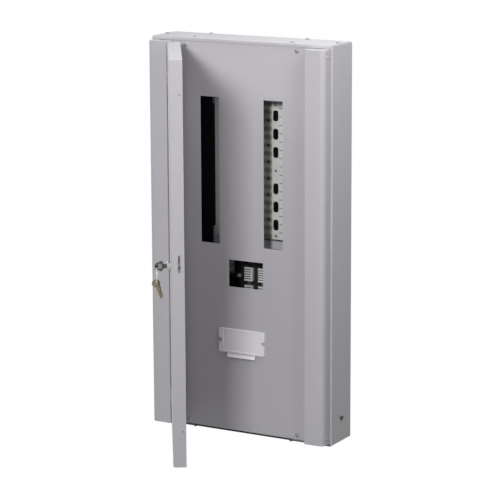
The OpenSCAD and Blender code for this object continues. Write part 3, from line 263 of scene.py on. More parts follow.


# %% [markdown]
# Some marks belong to one place: the middle of a key's bow, where the thumb presses, a pool of painted light
# on the tray beside the terminals, and a line of painted shade where a strip ends on its bracket. Such a spot
# is a soft ball in the piece's own coordinates, stretched to the marked area and frayed by a noise. Its
# colour is bright for a rubbed place and for painted light, and dark for painted shade.

# %% Group: single spot
def build_single_spot(outer=1.2, inner=0.6, least=0.4):
    """A spot that fades between two shares of its reach; least is its strength where it frays most."""
    group, enter, leave = new_group(
        "single_spot",
        [("Colour", COLOUR, (1, 1, 1, 1)), ("Mark", COLOUR, (1, 1, 1, 1)), ("Middle", VECTOR, (0, 0, 0)),
         ("Reach", VECTOR, (0.01, 0.01, 0.01)), ("Fray Scale", FLOAT, 200.0)],
        [("Colour", COLOUR)])
    links = group.links
    from_middle = add(group, "VectorMath", operation="SUBTRACT")
    links.new(add(group, "TexCoord").outputs["Object"], from_middle.inputs[0])
    links.new(enter["Middle"], from_middle.inputs[1])
    in_reach = add(group, "VectorMath", operation="DIVIDE")
    links.new(from_middle.outputs[0], in_reach.inputs[0])
    links.new(enter["Reach"], in_reach.inputs[1])
    away = add(group, "VectorMath", operation="LENGTH")
    links.new(in_reach.outputs[0], away.inputs[0])
    fade = add(group, "MapRange", interpolation_type="SMOOTHSTEP")
    fade.inputs["From Min"].default_value = outer
    fade.inputs["From Max"].default_value = inner
    links.new(away.outputs["Value"], fade.inputs["Value"])
    frayed = math_node(group, "ADD", noise(group, enter["Fray Scale"], detail=4.0), least)
    mask = math_node(group, "MULTIPLY", fade.outputs["Result"], frayed)
    links.new(blend(group, mask, enter["Colour"], enter["Mark"]), leave["Colour"])
    return group


single_spot = build_single_spot()
print("group single_spot:", len(single_spot.nodes), "nodes")


# %% [markdown]
# ## The finishes
# With the groups made, a finish is a shader and a handful of numbers: two close tones, the tone of
# rubbed edges, which is wear and painted highlight, and of dust, the gloss range, and how coarse and deep the
# skin is.

# %% One recipe for all finishes
def place_group(tree, group, values):
    """Adds a group to a material; tuples are colours and vectors are places."""
    node = add(tree, "Group", node_tree=group)
    for label, value in values.items():
        node.inputs[label].default_value = (*value, 1.0) if isinstance(value, tuple) else value
    return node


def finish(name, tone, second, rubbed_and_highlit, dusty, *, rough, grain, depth, mottle,
           metal=0.0, stretch=1.0, shine=0.5):
    """A procedural material of four linear colours; rough is low and high, grain and mottle are scales."""
    material = bpy.data.materials.new(name)
    material.use_nodes = True
    tree = material.node_tree
    shader = tree.nodes["Principled BSDF"]
    shader.inputs["Metallic"].default_value = metal
    shader.inputs["Specular IOR Level"].default_value = shine
    surface = place_group(tree, skin, {
        "Grain Scale": grain, "Mottle Scale": mottle, "Stretch": stretch,
        "Rough Low": rough[0], "Rough High": rough[1], "Depth": depth})
    worn_and_highlit = place_group(tree, worn_and_highlit_tones, {
        "Tone": tone, "Second Tone": second, "Rubbed And Highlit": rubbed_and_highlit, "Dusty": dusty})
    tree.links.new(surface.outputs["Mottle"], worn_and_highlit.inputs["Mottle"])
    tree.links.new(worn_and_highlit.outputs["Colour"], shader.inputs["Base Color"])
    tree.links.new(surface.outputs["Roughness"], shader.inputs["Roughness"])
    tree.links.new(surface.outputs["Normal"], shader.inputs["Normal"])
    return material


def slip_in(material, colour_in, colour_out):
    """Leads a finish's colour through a node's two sockets on its way to the shader."""
    tree = material.node_tree
    base = tree.nodes["Principled BSDF"].inputs["Base Color"]
    tree.links.new(base.links[0].from_socket, colour_in)
    tree.links.new(colour_out, base)


def with_groove_shade(material, front, groove_shade):
    """Adds painted shade in the grooves of a finish; front is the place of the moulding's face along Y."""
    node = place_group(material.node_tree, sunken_shade, {"Front": front, "Groove Shade": groove_shade})
    slip_in(material, node.inputs["Colour"], node.outputs["Colour"])


def with_spot(material, middle, reach, mark, fray=200.0):
    """Adds one spot to a finish; middle and reach are vectors in metres, mark is its colour."""
    node = place_group(material.node_tree, single_spot,
                       {"Middle": middle, "Reach": reach, "Mark": mark, "Fray Scale": fray})
    slip_in(material, node.inputs["Colour"], node.outputs["Colour"])


def grey(level, tint=0.0):
    """A neutral linear colour, with a little violet for a positive tint."""
    return (level * (1 + 0.2 * tint), level * (1 - 0.5 * tint), level * (1 + tint))


print("a grey of one half with some violet:", [round(part, 3) for part in grey(0.5, 0.05)])


# %% [markdown]
# The steel is painted light grey with a breath of violet. The zinc on screws and brackets has gone dull.
# The keys are dark, a painted reflection of darker surroundings than the white surround, and their rubbed
# rims carry painted highlights. The black mouldings stay near black, deepened into painted shade, so that
# the windows read dark. The tray behind them is painted matt black, a shade lighter than the mouldings,
# and its black also stands as painted shade deep in the box. Each finish is kept under the name of its
# material slot, so that every solid finds its own.

# %% Make each finish
finishes = {
    "painted_steel": finish(
        "light_grey_powder_coat", grey(0.495, 0.038), grey(0.525, 0.038), grey(0.60, 0.03), grey(0.62, 0.02),
        rough=(0.42, 0.54), grain=1100.0, depth=0.25, mottle=7.0),
    "zinc_plate": finish(
        "dull_zinc", grey(0.20, 0.02), grey(0.31, 0.02), grey(0.50), grey(0.40),
        rough=(0.40, 0.58), grain=1500.0, depth=0.15, mottle=160.0, metal=1.0),
    "dark_steel": finish(
        "blackened_steel", grey(0.030), grey(0.055), grey(0.20), grey(0.12),
        rough=(0.35, 0.55), grain=1800.0, depth=0.15, mottle=120.0, metal=0.6),
    # The tray's black is its paint and also painted shade deep in the box
    "tray_black": finish(
        "matt_black_paint", grey(0.016), grey(0.026), grey(0.06), grey(0.06),
        rough=(0.60, 0.78), grain=900.0, depth=0.25, mottle=20.0, shine=0.25),
    "white_plastic": finish(
        "white_moulding", grey(0.72), (0.76, 0.76, 0.73), grey(0.82), grey(0.66),
        rough=(0.34, 0.46), grain=2200.0, depth=0.10, mottle=30.0),
    "shroud_plastic": finish(
        "grey_green_moulding", (0.42, 0.44, 0.375), (0.58, 0.60, 0.53), grey(0.64), grey(0.54),
        rough=(0.42, 0.58), grain=1600.0, depth=0.20, mottle=75.0),
    # Near black: the mouldings' own black, deepened as painted shade so that the windows read dark
    "black_plastic": finish(
        "black_moulding", grey(0.006), grey(0.012), grey(0.03), grey(0.04),
        rough=(0.38, 0.52), grain=1800.0, depth=0.12, mottle=40.0, shine=0.12),
    "copper": finish(
        "browned_copper", (0.10, 0.050, 0.033), (0.17, 0.090, 0.062), (0.50, 0.28, 0.20), grey(0.2),
        rough=(0.34, 0.52), grain=700.0, depth=0.12, mottle=60.0, metal=1.0, stretch=0.08),
    "brass": finish(
        "dulled_brass", (0.150, 0.130, 0.086), (0.245, 0.215, 0.148), (0.55, 0.48, 0.33), grey(0.30),
        rough=(0.32, 0.50), grain=1500.0, depth=0.15, mottle=150.0, metal=1.0),
    # The chrome is kept darker than chrome, a painted reflection, since the white surround would show in it
    # all over
    "lock_chrome": finish(
        "polished_chrome", grey(0.34), grey(0.46), grey(0.70), grey(0.5),
        rough=(0.12, 0.24), grain=900.0, depth=0.04, mottle=160.0, metal=1.0),
    # The keys' dark tone is a painted reflection, and their bright rubbed rims are partly painted highlight
    "key_nickel": finish(
        "dark_reflection_worn_nickel", grey(0.040), (0.135, 0.128, 0.120), grey(0.62), grey(0.25),
        rough=(0.22, 0.40), grain=1500.0, depth=0.12, mottle=240.0, metal=1.0),
}
print(len(finishes), "finishes by material slot")


# %% [markdown]
# Some pieces differ from their kind. The cover over the spare opening is a whiter, glossier moulding.
# The pan's screws are near white, a painted highlight, and the pan's lower bracket is newer and brighter
# than the zinc outside; the panel's screws are duller, and the ring is bright wire. The plate that closes
# the bottom is painted dark grey as painted shade, so that it shows as a dark line along the lower edge.
# The terminals' carrier is a greyer black. The terminal blocks and the two device strips carry grooves
# and marks, so they take the painted shade of the grooves with the place of their own front.

# %% Finishes of single pieces
def front_of(node):
    """The place of a node's foremost face along Y."""
    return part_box(node)[0][1]


own_finish = {
    "blanking_plate": finish(
        "white_cover", grey(0.86, 0.03), grey(0.90, 0.03), grey(0.93), grey(0.80),
        rough=(0.28, 0.40), grain=2000.0, depth=0.10, mottle=25.0),
    # Near white: a painted highlight on the pan's screws
    "pan_screws": finish(
        "near_white_highlit_zinc", grey(0.92, 0.01), grey(0.95, 0.01), grey(0.95), grey(0.9),
        rough=(0.28, 0.38), grain=1500.0, depth=0.05, mottle=160.0, shine=1.0),
    "lower_pan_bracket": finish(
        "bright_zinc", grey(0.66, 0.04), grey(0.76, 0.04), grey(0.82), grey(0.6),
        rough=(0.36, 0.50), grain=1300.0, depth=0.12, mottle=60.0, metal=0.25),
    "panel_screws": finish(
        "grey_zinc", grey(0.30, 0.02), grey(0.38, 0.02), grey(0.44), grey(0.42),
        rough=(0.50, 0.64), grain=1500.0, depth=0.15, mottle=160.0, metal=0.5),
    "key_ring": finish(
        "bright_steel_wire", grey(0.74), grey(0.84), grey(0.90), grey(0.7),
        rough=(0.16, 0.26), grain=1500.0, depth=0.05, mottle=160.0, metal=1.0),
    # The bottom plate's dark grey is painted shade for the dark line along the lower edge
    "bottom_end_plate": finish(
        "dark_grey_painted_shade", grey(0.095, 0.03), grey(0.125, 0.03), grey(0.17), grey(0.20),
        rough=(0.42, 0.54), grain=1100.0, depth=0.25, mottle=7.0),
    "incomer_carrier": finish(
        "grey_black_moulding", (0.020, 0.022, 0.018), (0.034, 0.037, 0.031), grey(0.07), grey(0.06),
        rough=(0.40, 0.55), grain=1800.0, depth=0.12, mottle=40.0, shine=0.25),
}
# Each moulding's tone and the tone of the painted shade in its grooves
for node, name, tone, groove_shade in (
        ("incomer_blocks", "grooved_white_moulding", 0.93, 0.16),
        ("left_device_strip", "marked_white_moulding_left", 0.80, 0.26),
        ("right_device_strip", "marked_white_moulding_right", 0.80, 0.26)):
    moulding = finish(
        name, grey(tone), (tone + 0.04, tone + 0.04, tone + 0.02), grey(tone + 0.05), grey(tone - 0.06),
        rough=(0.34, 0.46), grain=2200.0, depth=0.10, mottle=30.0)
    with_groove_shade(moulding, front_of(node), grey(groove_shade))
    own_finish[node] = moulding
print(len(own_finish), "finishes of single pieces")


# %% [markdown]
# Three places carry a mark of their own. A pool of painted light lies on the tray beside the terminals,
# where light through the opening would fall; a line of painted shade lies in the joint where the right strip
# ends on the lower bracket; and the key's bow is rubbed in its middle. A mark could be a small decal piece,
# but a spot in the finish keeps the surface whole. The places come from the solids, apart from the pool of
# light, which lies where the opening shows the tray.

# %% Spots on the tray, the bracket and the key
into_lock = Vector(joints["lock_turn"]["axis"]).normalized()


def bow_middle(bow_radius=11.0):
    """The middle of the key's bow, one radius in from the key's outer end."""
    low, high = (Vector(corner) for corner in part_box("key"))
    return Vector((low.x, low.y, (low.z + high.z) / 2)) + into_lock * bow_radius * MM


def strip_foot(below=1.5):
    """The joint where the right strip ends on the lower bracket."""
    low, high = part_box("right_device_strip")
    return Vector(((low[0] + high[0]) / 2, low[1], low[2] - below * MM))


tray_light_pool = Vector((-0.068, -0.0155, -0.074))
tray_light_pool_reach = Vector((0.019, 0.010, 0.017))
joint_shade_reach = Vector((0.07, 0.05, 0.0035))
thumb_reach = Vector((0.0055, 0.0055, 0.0055))
# A pool of painted light on the tray beside the terminals
with_spot(finishes["tray_black"], tray_light_pool, tray_light_pool_reach, grey(0.86))
# Painted shade in the joint below the right strip's end
with_spot(own_finish["lower_pan_bracket"], strip_foot(), joint_shade_reach, grey(0.06))
with_spot(finishes["key_nickel"], bow_middle(), thumb_reach, grey(0.26), fray=400.0)
print("key's bow at", [round(v, 4) for v in bow_middle()])


# %% [markdown]
# The shroud over the bars is moulded in cells, one to each module of the strips, with a darker seam
# between two cells. A wave along its height, in step with the modules, gives that change of tone.

# %% Cells of the shroud
MODULE = 17.5 * MM


def with_cells(material, node, seam, middle):
    """Multiplies a finish by seam and middle in turn, one wave to a module, from the middle of a node."""
    tree = material.node_tree
    low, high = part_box(node)
    mid_height = (low[2] + high[2]) / 2
    split = add(tree, "SeparateXYZ")
    tree.links.new(add(tree, "TexCoord").outputs["Object"], split.inputs[0])
    turn = add(tree, "MapRange", clamp=False)
    turn.inputs["From Min"].default_value = mid_height
    turn.inputs["From Max"].default_value = mid_height + MODULE
    turn.inputs["To Max"].default_value = 2 * math.pi
    tree.links.new(split.outputs["Z"], turn.inputs["Value"])
    wave = add(tree, "Math", operation="COSINE")
    tree.links.new(turn.outputs["Result"], wave.inputs[0])
    level = add(tree, "MapRange")
    level.inputs["From Min"].default_value = 1.0
    level.inputs["From Max"].default_value = -1.0
    level.inputs["To Min"].default_value = seam
    level.inputs["To Max"].default_value = middle
    tree.links.new(wave.outputs[0], level.inputs["Value"])
    shade = add(tree, "VectorMath", operation="SCALE")
    tree.links.new(level.outputs["Result"], shade.inputs["Scale"])
    slip_in(material, shade.inputs[0], shade.outputs[0])


with_cells(finishes["shroud_plastic"], "right_device_strip", seam=0.66, middle=1.30)
print("shroud cells every", round(MODULE / MM, 1), "mm")


# %% [markdown]
# Every solid takes the finish of its material slot, unless it has one of its own. Its mesh stays as it
# is; only the material in its slot changes.

# %% Hand out the finishes
def finish_for(node):
    """A node's own finish, or else the one of its material slot."""
    return own_finish.get(node) or finishes[slot_of[node]]


for node, piece in nodes.items():
    piece.data.materials.clear()
    piece.data.materials.append(finish_for(node))
print("finishes:", ", ".join(made.name for made in [*finishes.values(), *own_finish.values()]))


# %% [markdown]
# ## Soft edges
# Folded sheet and mouldings never end in a mathematical corner; the small radius is what catches
# the light. The solids have sharp ones, so each visible piece gets a copy whose longer edges are
# bevelled, and the copy stands for the solid. Welding the triangles into whole faces first keeps the
# bevel clean. A bevel modifier on raw triangles would crease every diagonal.

# %% Weld a solid, turn a mesh into a piece
SHARP = math.radians(34)
FLAT = math.radians(0.4)


def welded(node, closer=0.002):
    """The node's mesh with split corners joined and flat triangles merged."""
    made = bmesh.new()
    made.from_mesh(nodes[node].data)
    bmesh.ops.remove_doubles(made, verts=made.verts, dist=closer * MM)
    bmesh.ops.dissolve_limit(made, angle_limit=FLAT, verts=made.verts, edges=made.edges)
    return made


def new_piece(made, name, material, body):
    """Turns a bmesh into a piece with a finish, riding on a body."""
    mesh = bpy.data.meshes.new(name)
    made.to_mesh(mesh)
    made.free()
    # The solids bring normals of their own, which no longer fit a changed mesh
    if "custom_normal" in mesh.attributes:
        mesh.attributes.remove(mesh.attributes["custom_normal"])
    for face in mesh.polygons:
        face.use_smooth = True
        face.material_index = 0
    mesh.set_sharp_from_angle(angle=SHARP)
    mesh.materials.clear()
    mesh.materials.append(material)
    piece = bpy.data.objects.new(name, mesh)
    bpy.context.scene.collection.objects.link(piece)
    piece.modifiers.new("even_faces", "WEIGHTED_NORMAL").keep_sharp = True
    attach(piece, body)
    return piece


def as_piece(made, name, node):
    """A piece that stands for a node, with the node's finish and body."""
    piece = new_piece(made, name, finish_for(node), nodes[node]["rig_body"])
    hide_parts(node)
    return piece


sample = welded("front_panel")
print(f"front_panel: {len(nodes['front_panel'].data.polygons)} triangles weld into {len(sample.faces)} faces")


# %% [markdown]
# Bent edges meet in chains, such as the rim of a hole or the border of a sheet. A bevel that stops in
# the middle of a chain has nowhere to end, and Blender then shrinks all of them to nothing. So a chain is
# bevelled whole when it has at least one edge longer than the shortest visible one.

# %% Choose the chains of edges to bevel
def bevel(made, edges, width, segments):
    """Rounds edges of a bmesh by a width in millimetres."""
    bmesh.ops.bevel(
        made, geom=edges, offset=width * MM, offset_type="OFFSET", segments=segments,
        profile=0.5, affect="EDGES", clamp_overlap=True)


def bends(made):
    """The edges between two faces that meet at a sharp angle."""
    return [edge for edge in made.edges
            if len(edge.link_faces) == 2 and edge.calc_face_angle() > SHARP]


def long_chains(made, shortest=1.4):
    """The bent edges of each chain that has a long edge, so that a bevel also runs round its corners."""
    left = set(bends(made))
    chosen = set()
    while left:
        chain = set()
        waiting = [left.pop()]
        while waiting:
            edge = waiting.pop()
            chain.add(edge)
            near = {other for corner in edge.verts for other in corner.link_edges} & left
            left -= near
            waiting.extend(near)
        if max(edge.calc_length() for edge in chain) > shortest * MM:
            chosen |= chain
    return [edge for edge in bends(made) if edge in chosen]


def bevel_long_edges(made, width, smallest=0.001):
    """Bevels the long chains, then removes faces that came out with no size."""
    bevel(made, long_chains(made), width, segments=2)
    bmesh.ops.dissolve_degenerate(made, dist=smallest * MM, edges=made.edges)


print(f"front_panel: {len(bends(sample))} bent edges, {len(long_chains(sample))} of them in long chains")
sample.free()


# %% [markdown]
# A fold in sheet has a far larger radius than a cut edge. A fold is a long outward corner between two
# faces that are both wider than a few sheet thicknesses, so it can be told apart by measuring those
# faces, and it is rounded before the cut edges are.

# %% Tell the folds of the sheet from its cut edges
def is_fold(edge, longest_cut=200, widest_cut=4.2):
    """True for a long outward corner between two wide faces; both limits are in millimetres."""
    length = edge.calc_length()
    width = min(face.calc_area() / length for face in edge.link_faces)
    outward = edge.calc_face_angle_signed() > SHARP
    return outward and length > longest_cut * MM and width > widest_cut * MM


def round_folds(made, radius):
    """Rounds the folds of a sheet and gives back how many there are."""
    folds = [edge for edge in bends(made) if is_fold(edge)]
    bevel(made, folds, radius, segments=4)
    return len(folds)


fold_radii = {"body_shell": 2.0, "top_end_plate": 1.4}
print("folds rounded, in mm:", fold_radii)


# %% [markdown]
# The cover over the spare opening has a finger tab below it. The tab stands off the panel, so that a nail
# gets behind it, and its rim catches the light. The solid has it upright. Here its corners are turned
# about the line where it leaves the cover, before the edges are bevelled.

# %% Bend the cover's finger tab
def bend_tab(made, node, height=11, angle=22, spare=0.1):
    """Bends the tab at a node's lower end forwards; height and spare are in millimetres."""
    root = Vector((0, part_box("front_panel")[0][1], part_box(node)[0][2] + height * MM))
    tab = [corner for corner in made.verts if corner.co.z < root.z - spare * MM]
    forwards = Matrix.Rotation(math.radians(-angle), 3, "X")
    bmesh.ops.rotate(made, verts=tab, cent=root, matrix=forwards)
    print(f"{node}: {len(tab)} corners of the tab turned by {angle} degrees")


# %% [markdown]
# Each piece gets the edge that its making leaves: a hair on punched sheet, a little more on sawn bar and
# mouldings. The widths stand in one table, so that a piece can be softened or sharpened in one place.

# %% Edge every visible piece
edge_widths = {
    "body_shell": 0.5, "top_end_plate": 0.6, "bottom_end_plate": 0.6, "left_wing": 0.35, "right_wing": 0.35,
    "left_wing_caps": 0.5, "right_wing_caps": 0.5, "front_panel": 0.3, "door_pan": 0.35,
    "blanking_plate": 0.45, "left_device_strip": 0.3, "right_device_strip": 0.3, "busbar_shroud": 0.3,
    "left_tap_sockets": 0.3, "right_tap_sockets": 0.3, "incomer_blocks": 0.25, "incomer_carrier": 0.4,
    "upper_pan_bracket": 0.3, "lower_pan_bracket": 0.3, "pan_tray": 0.3, "lock_cam": 0.3, "lock_nut": 0.3,
    "neutral_bar": 0.4, "earth_bar": 0.4, "neutral_supports": 0.5, "earth_supports": 0.5,
    "busbar_l1": 0.4, "busbar_l2": 0.4, "busbar_l3": 0.4, "upper_cross_rail": 0.3, "lower_cross_rail": 0.3,
}
for node, width in edge_widths.items():
    made = welded(node)
    if node == "blanking_plate":
        bend_tab(made, node)
    folds = round_folds(made, fold_radii[node]) if node in fold_radii else 0
    bevel_long_edges(made, width)
    piece = as_piece(made, node + "_edged", node)
    print(f"{piece.name}: {len(piece.data.polygons)} faces, {folds} folds")


# %% [markdown]
# ## Screw heads
# On the real box the heads are low domes with a cross pressed in. The solids mark each one as a disc
# or a cone. A dome is turned like clay on a wheel, two tapered wedges are cut out of it, and it is set
# wherever the solid has a screw, at that screw's own width.

# %% Turn a dome and press the cross
def turned(profile, steps=36):
    """A closed mesh turned about Z from (radius, height) points that start and end on the axis."""
    made = bmesh.new()
    rings = []
    for radius, height in profile:
        turns = [2 * math.pi * k / steps for k in range(steps if radius > 0 else 1)]
        rings.append([made.verts.new((radius * math.cos(t), radius * math.sin(t), height)) for t in turns])
    for lower, upper in zip(rings, rings[1:]):
        for k in range(steps):
            corners = [ring[(k + step) % len(ring)] for ring, step in
                       ((lower, 0), (lower, 1), (upper, 1), (upper, 0))]
            made.faces.new(list(dict.fromkeys(corners)))
    bmesh.ops.recalc_face_normals(made, faces=made.faces)
    return made


def wedge(length, width, top, bottom, taper=0.55):
    """A bar that narrows downwards, for pressing one slot of a cross."""
    made = bmesh.new()
    bmesh.ops.create_cube(made, size=1)
    for corner in made.verts:
        share, height = (1.0, top) if corner.co.z > 0 else (taper, bottom)
        corner.co = Vector((corner.co.x * length * share, corner.co.y * width * share, height))
    return made


def cut(made, cutter):
    """The first mesh with the second cut out of it."""
    objects = []
    for part in (made, cutter):
        mesh = bpy.data.meshes.new("cutting")
        part.to_mesh(mesh)
        part.free()
        objects.append(bpy.data.objects.new("cutting", mesh))
        bpy.context.scene.collection.objects.link(objects[-1])
    press = objects[0].modifiers.new("press", "BOOLEAN")
    press.operation = "DIFFERENCE"
    press.object = objects[1]
    press.solver = "EXACT"
    result = bmesh.new()
    result.from_object(objects[0], bpy.context.evaluated_depsgraph_get())
    for part in objects:
        bpy.data.meshes.remove(part.data)
    return result


# The dome from its top to its foot, as shares of the head's radius and height
DOME = ((0, 1), (0.34, 0.985), (0.62, 0.90), (0.82, 0.72), (0.95, 0.45), (1, 0.16), (0.98, 0))


def cross_head(width, height, length):
    """A domed screw along +Z: its head stands on z = 0, its shank reaches down by length."""
    shank = width * 0.24
    dome = [(out * width / 2, up * height) for out, up in DOME]
    made = turned([*dome, (shank, 0), (shank, -length), (0, -length)])
    long_arm = 0.62 * width
    short_arm = 0.17 * width
    for length_x, length_y in ((long_arm, short_arm), (short_arm, long_arm)):
        made = cut(made, wedge(length_x, length_y, top=1.2 * height, bottom=0.30 * height))
    mesh = bpy.data.meshes.new("head")
    made.to_mesh(mesh)
    made.free()
    return mesh


sample = cross_head(8 * MM, 3 * MM, 5 * MM)
print("a head has", len(sample.polygons), "faces")
bpy.data.meshes.remove(sample)


# %% [markdown]
# A set of screws is one solid with many islands. Walking from corner to corner along the edges finds each
# island, and its box gives the screw's middle, length and width. The heads are not all turned alike,
# because nobody lines up the crosses of screws; the turn follows from the screw's place, so that it is the
# same in every run.

# %% Set a head on every screw of the visible sets
def islands(node):
    """The low and high corners of each separate solid of a node, in order of place."""
    made = welded(node)
    left = set(made.verts)
    found = []
    while left:
        reached = []
        waiting = [left.pop()]
        while waiting:
            corner = waiting.pop()
            reached.append(corner.co.copy())
            near = {edge.other_vert(corner) for edge in corner.link_edges} & left
            left -= near
            waiting.extend(near)
        found.append([Vector([pick(point[k] for point in reached) for k in range(3)]) for pick in (min, max)])
    made.free()
    return sorted(found, key=lambda corners: tuple(corners[0]))


def set_heads(node, head_height, outward, turn_rate=90):
    """Replaces a node's screws; outward(middle) is the way a head looks, along one of the axes."""
    made = bmesh.new()
    for low, high in islands(node):
        size = high - low
        middle = (low + high) / 2
        axis = outward(middle)
        along = max(range(3), key=lambda k: abs(axis[k]))
        width = max(size[k] for k in range(3) if k != along)
        mesh = cross_head(width, head_height * MM, size[along] - head_height * MM)
        base = middle + axis * (size[along] / 2 - head_height * MM)
        aim = axis.to_track_quat("Z", "Y").to_matrix().to_4x4()
        turn = Matrix.Rotation(middle.x * turn_rate, 4, "Z")
        mesh.transform(Matrix.Translation(base) @ aim @ turn)
        made.from_mesh(mesh)
        bpy.data.meshes.remove(mesh)
    return as_piece(made, node + "_domed", node)


def to_the_front(middle):
    """Heads on the panel and the pan look forwards."""
    return Vector((0, -1, 0))


def away_sideways(middle):
    """Heads on the wings look away from the middle of the box."""
    return Vector((math.copysign(1, middle.x), 0, 0))


def away_endways(middle):
    """Heads on the end plates look up at the top and down at the bottom."""
    return Vector((0, 0, math.copysign(1, middle.z)))


for node, height, outward in (
        ("top_end_screws", 3.0, away_endways), ("bottom_end_screws", 3.0, away_endways),
        ("wing_cap_screws", 1.2, away_sideways), ("panel_screws", 2.6, to_the_front),
        ("pan_screws", 2.5, to_the_front), ("strip_screws", 1.6, to_the_front)):
    piece = set_heads(node, height, outward)
    print(f"{piece.name}: {len(piece.data.polygons)} faces")


# %% [markdown]
# ## Edging of the cable slot
# Cables enter by a slot in the front edge of the bottom plate, and a black rubber edging covers the cut
# sheet there, so that it does not chafe them. From in front it is the dark line under the panel. The
# edging is one section, a clip with a round bead, swept along the three sides of the slot. A bevelled
# curve would do it too, but it rounds or pinches the corners. Here they are mitred, by moving each point
# along the mean of the two sides' normals. At both ends the flanks stop behind the plate's lip, and the
# bead runs on past the lip to a short tip.

# %% Push the edging on
def join_rings(made, rings):
    """Faces from each ring of corners to the next one."""
    for first, second in zip(rings, rings[1:]):
        for k in range(len(first)):
            after = (k + 1) % len(first)
            made.faces.new((first[k], first[after], second[after], second[k]))


def edging_section(sheet, grip, bead, lip=1.9):
    """The clip from the slot's edge outwards: a half-round bead, then the upper and the lower flank."""
    arc = [math.radians(angle) for angle in range(-90, 91, 15)]
    half_round = [(bead * math.cos(a), bead * math.sin(a)) for a in arc]
    upper = [(-grip, lip), (-grip, sheet / 2), (0, sheet / 2)]
    lower = [(0, -sheet / 2), (-grip, -sheet / 2), (-grip, -lip)]
    return half_round, upper, lower


def push_edging(half_width=117, back=-82, behind_lip=-87.2, tip=-90.2, sheet=1.5, grip=4, bead=2.5):
    """Sweeps the edging round the slot; all sizes and places are in millimetres."""
    half_round, upper, lower = edging_section(sheet, grip, bead)
    section = half_round + upper + lower
    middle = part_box("bottom_end_plate")[0][2] / MM + sheet / 2
    path = [(-half_width, behind_lip), (-half_width, back), (half_width, back), (half_width, behind_lip)]
    normals = [(1, 0), (0, -1), (-1, 0)]
    made = bmesh.new()
    rings = []
    for k, (x, y) in enumerate(path):
        before, after = normals[max(k - 1, 0)], normals[min(k, 2)]
        share = 1 + before[0] * after[0] + before[1] * after[1]
        aim = [(before[axis] + after[axis]) / share for axis in (0, 1)]
        rings.append([made.verts.new(Vector((x + aim[0] * out, y + aim[1] * out, middle + up)) * MM)
                      for out, up in section])
    join_rings(made, rings)
    # The last corner of the half round, where the upper flank starts
    top = len(half_round) - 1
    for ring in (rings[0], rings[-1]):
        made.faces.new(ring[top:top + 4])
        made.faces.new(ring[top + 4:] + ring[:1])
        bead_end = ring[:top + 1] + ring[top + 3:top + 5]
        bead_tip = [made.verts.new((corner.co.x, tip * MM, corner.co.z)) for corner in bead_end]
        join_rings(made, [bead_end, bead_tip])
        made.faces.new(bead_tip)
    bmesh.ops.recalc_face_normals(made, faces=made.faces)
    rubber = finish(
        "black_rubber", grey(0.010), grey(0.018), grey(0.03), grey(0.05),
        rough=(0.55, 0.70), grain=1400.0, depth=0.15, mottle=50.0)
    return new_piece(made, "slot_edging", rubber, nodes["bottom_end_plate"]["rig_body"])


piece = push_edging()
print(f"{piece.name}: {len(piece.data.polygons)} faces")


# %% [markdown]
# ## Keys and ring
# A stamped key has a raised border and a sunken field. A bump in the material would show it from in
# front, but not along the outline, so the flat sides of the solids are inset and pressed in.

# %% Press the keys
across = Vector(joints["key_ring_swing"]["axis"]).normalized()


def press_key(node, border, sink, aligned=0.99):
    """Sinks both flat sides of a key inside a border; border and sink are in millimetres."""
    made = welded(node)
    for side in (across, -across):
        flat = [face for face in made.faces if face.normal.dot(side) > aligned]
        bmesh.ops.inset_region(made, faces=flat, thickness=border * MM, depth=0, use_even_offset=True)
        field = [face for face in flat if face.is_valid]
        for corner in {corner for face in field for corner in face.verts}:
            corner.co -= side * sink * MM
    return as_piece(made, node + "_pressed", node)


for node in ("key", "spare_key"):
    piece = press_key(node, border=1.0, sink=0.25)
    print(f"{piece.name}: {len(piece.data.polygons)} faces")


# %% [markdown]
# The ring of such keys is not a plain hoop but two turns of flat wire, with a jog where one turn passes to
# the other. A torus would miss the jog. A section swept along that path gives it, inside the room of the
# hoop.

# %% Wind the ring
# Corners of the flat wire, as shares of its half width and half thickness
WIRE = ((1, 0.5), (0.8, 1), (-0.8, 1), (-1, 0.5), (-1, -0.5), (-0.8, -1), (0.8, -1), (1, -0.5))


def wind_ring(node, wire_width=1.9, wire_thick=0.86, inset=1.0, gap=0.08, steps=72, jog=0.4):
    """Two turns of wire in a hoop's room; sizes are in millimetres and jog is in radians."""
    low, high = (Vector(corner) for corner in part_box(node))
    middle = (low + high) / 2
    radius = (high.z - low.z) / 2 - inset * MM
    section = [(a * wire_width / 2 * MM, b * wire_thick / 2 * MM) for a, b in WIRE]
    made = bmesh.new()
    rings = []
    for k in range(2 * steps + 1):
        turn = 2 * math.pi * k / steps
        share = min(max((turn - 2 * math.pi) / jog / 2 + 0.5, 0), 1)
        smooth = share * share * (3 - 2 * share)
        lift = (smooth - 0.5) * (wire_thick + gap) * MM
        away = across * math.cos(turn) + Vector((0, 0, math.sin(turn)))
        rings.append([made.verts.new(middle + away * (radius + a) + into_lock * (lift + b))
                      for a, b in section])
    join_rings(made, rings)
    made.faces.new(rings[0])
    made.faces.new(rings[-1])
    bmesh.ops.recalc_face_normals(made, faces=made.faces)
    return as_piece(made, node + "_wound", node)


piece = wind_ring("key_ring")
print(f"{piece.name}: {len(piece.data.polygons)} faces")


# %% [markdown]
# ## Stage, light and camera
# The photograph is a cut-out on white, and the box hangs with no wall behind it. The floor lies as far
# below as under a box on a wall. A plain white floor would need so much light that the box clips to
# white. So the floor glows, but only for rays that look at it or mirror it, and near the box it turns
# half into pale matt, where a shadow may fall on it. From below it lets the eye through, so that the
# underside can be looked at.

# %% A pale floor and a white surround
def shows(tree):
    """One for camera, mirror and glass rays, and nought for the light that falls on the box."""
    rays = add(tree, "LightPath")
    seen = math_node(tree, "ADD", rays.outputs["Is Camera Ray"], rays.outputs["Is Glossy Ray"])
    return math_node(tree, "ADD", seen, rays.outputs["Is Transmission Ray"])


def mixed(tree, share, first, second):
    """Two shaders mixed by a socket; gives back the mix."""
    mix = add(tree, "MixShader")
    for socket, source in zip(mix.inputs, (share, first, second)):
        tree.links.new(source, socket)
    return mix.outputs[0]


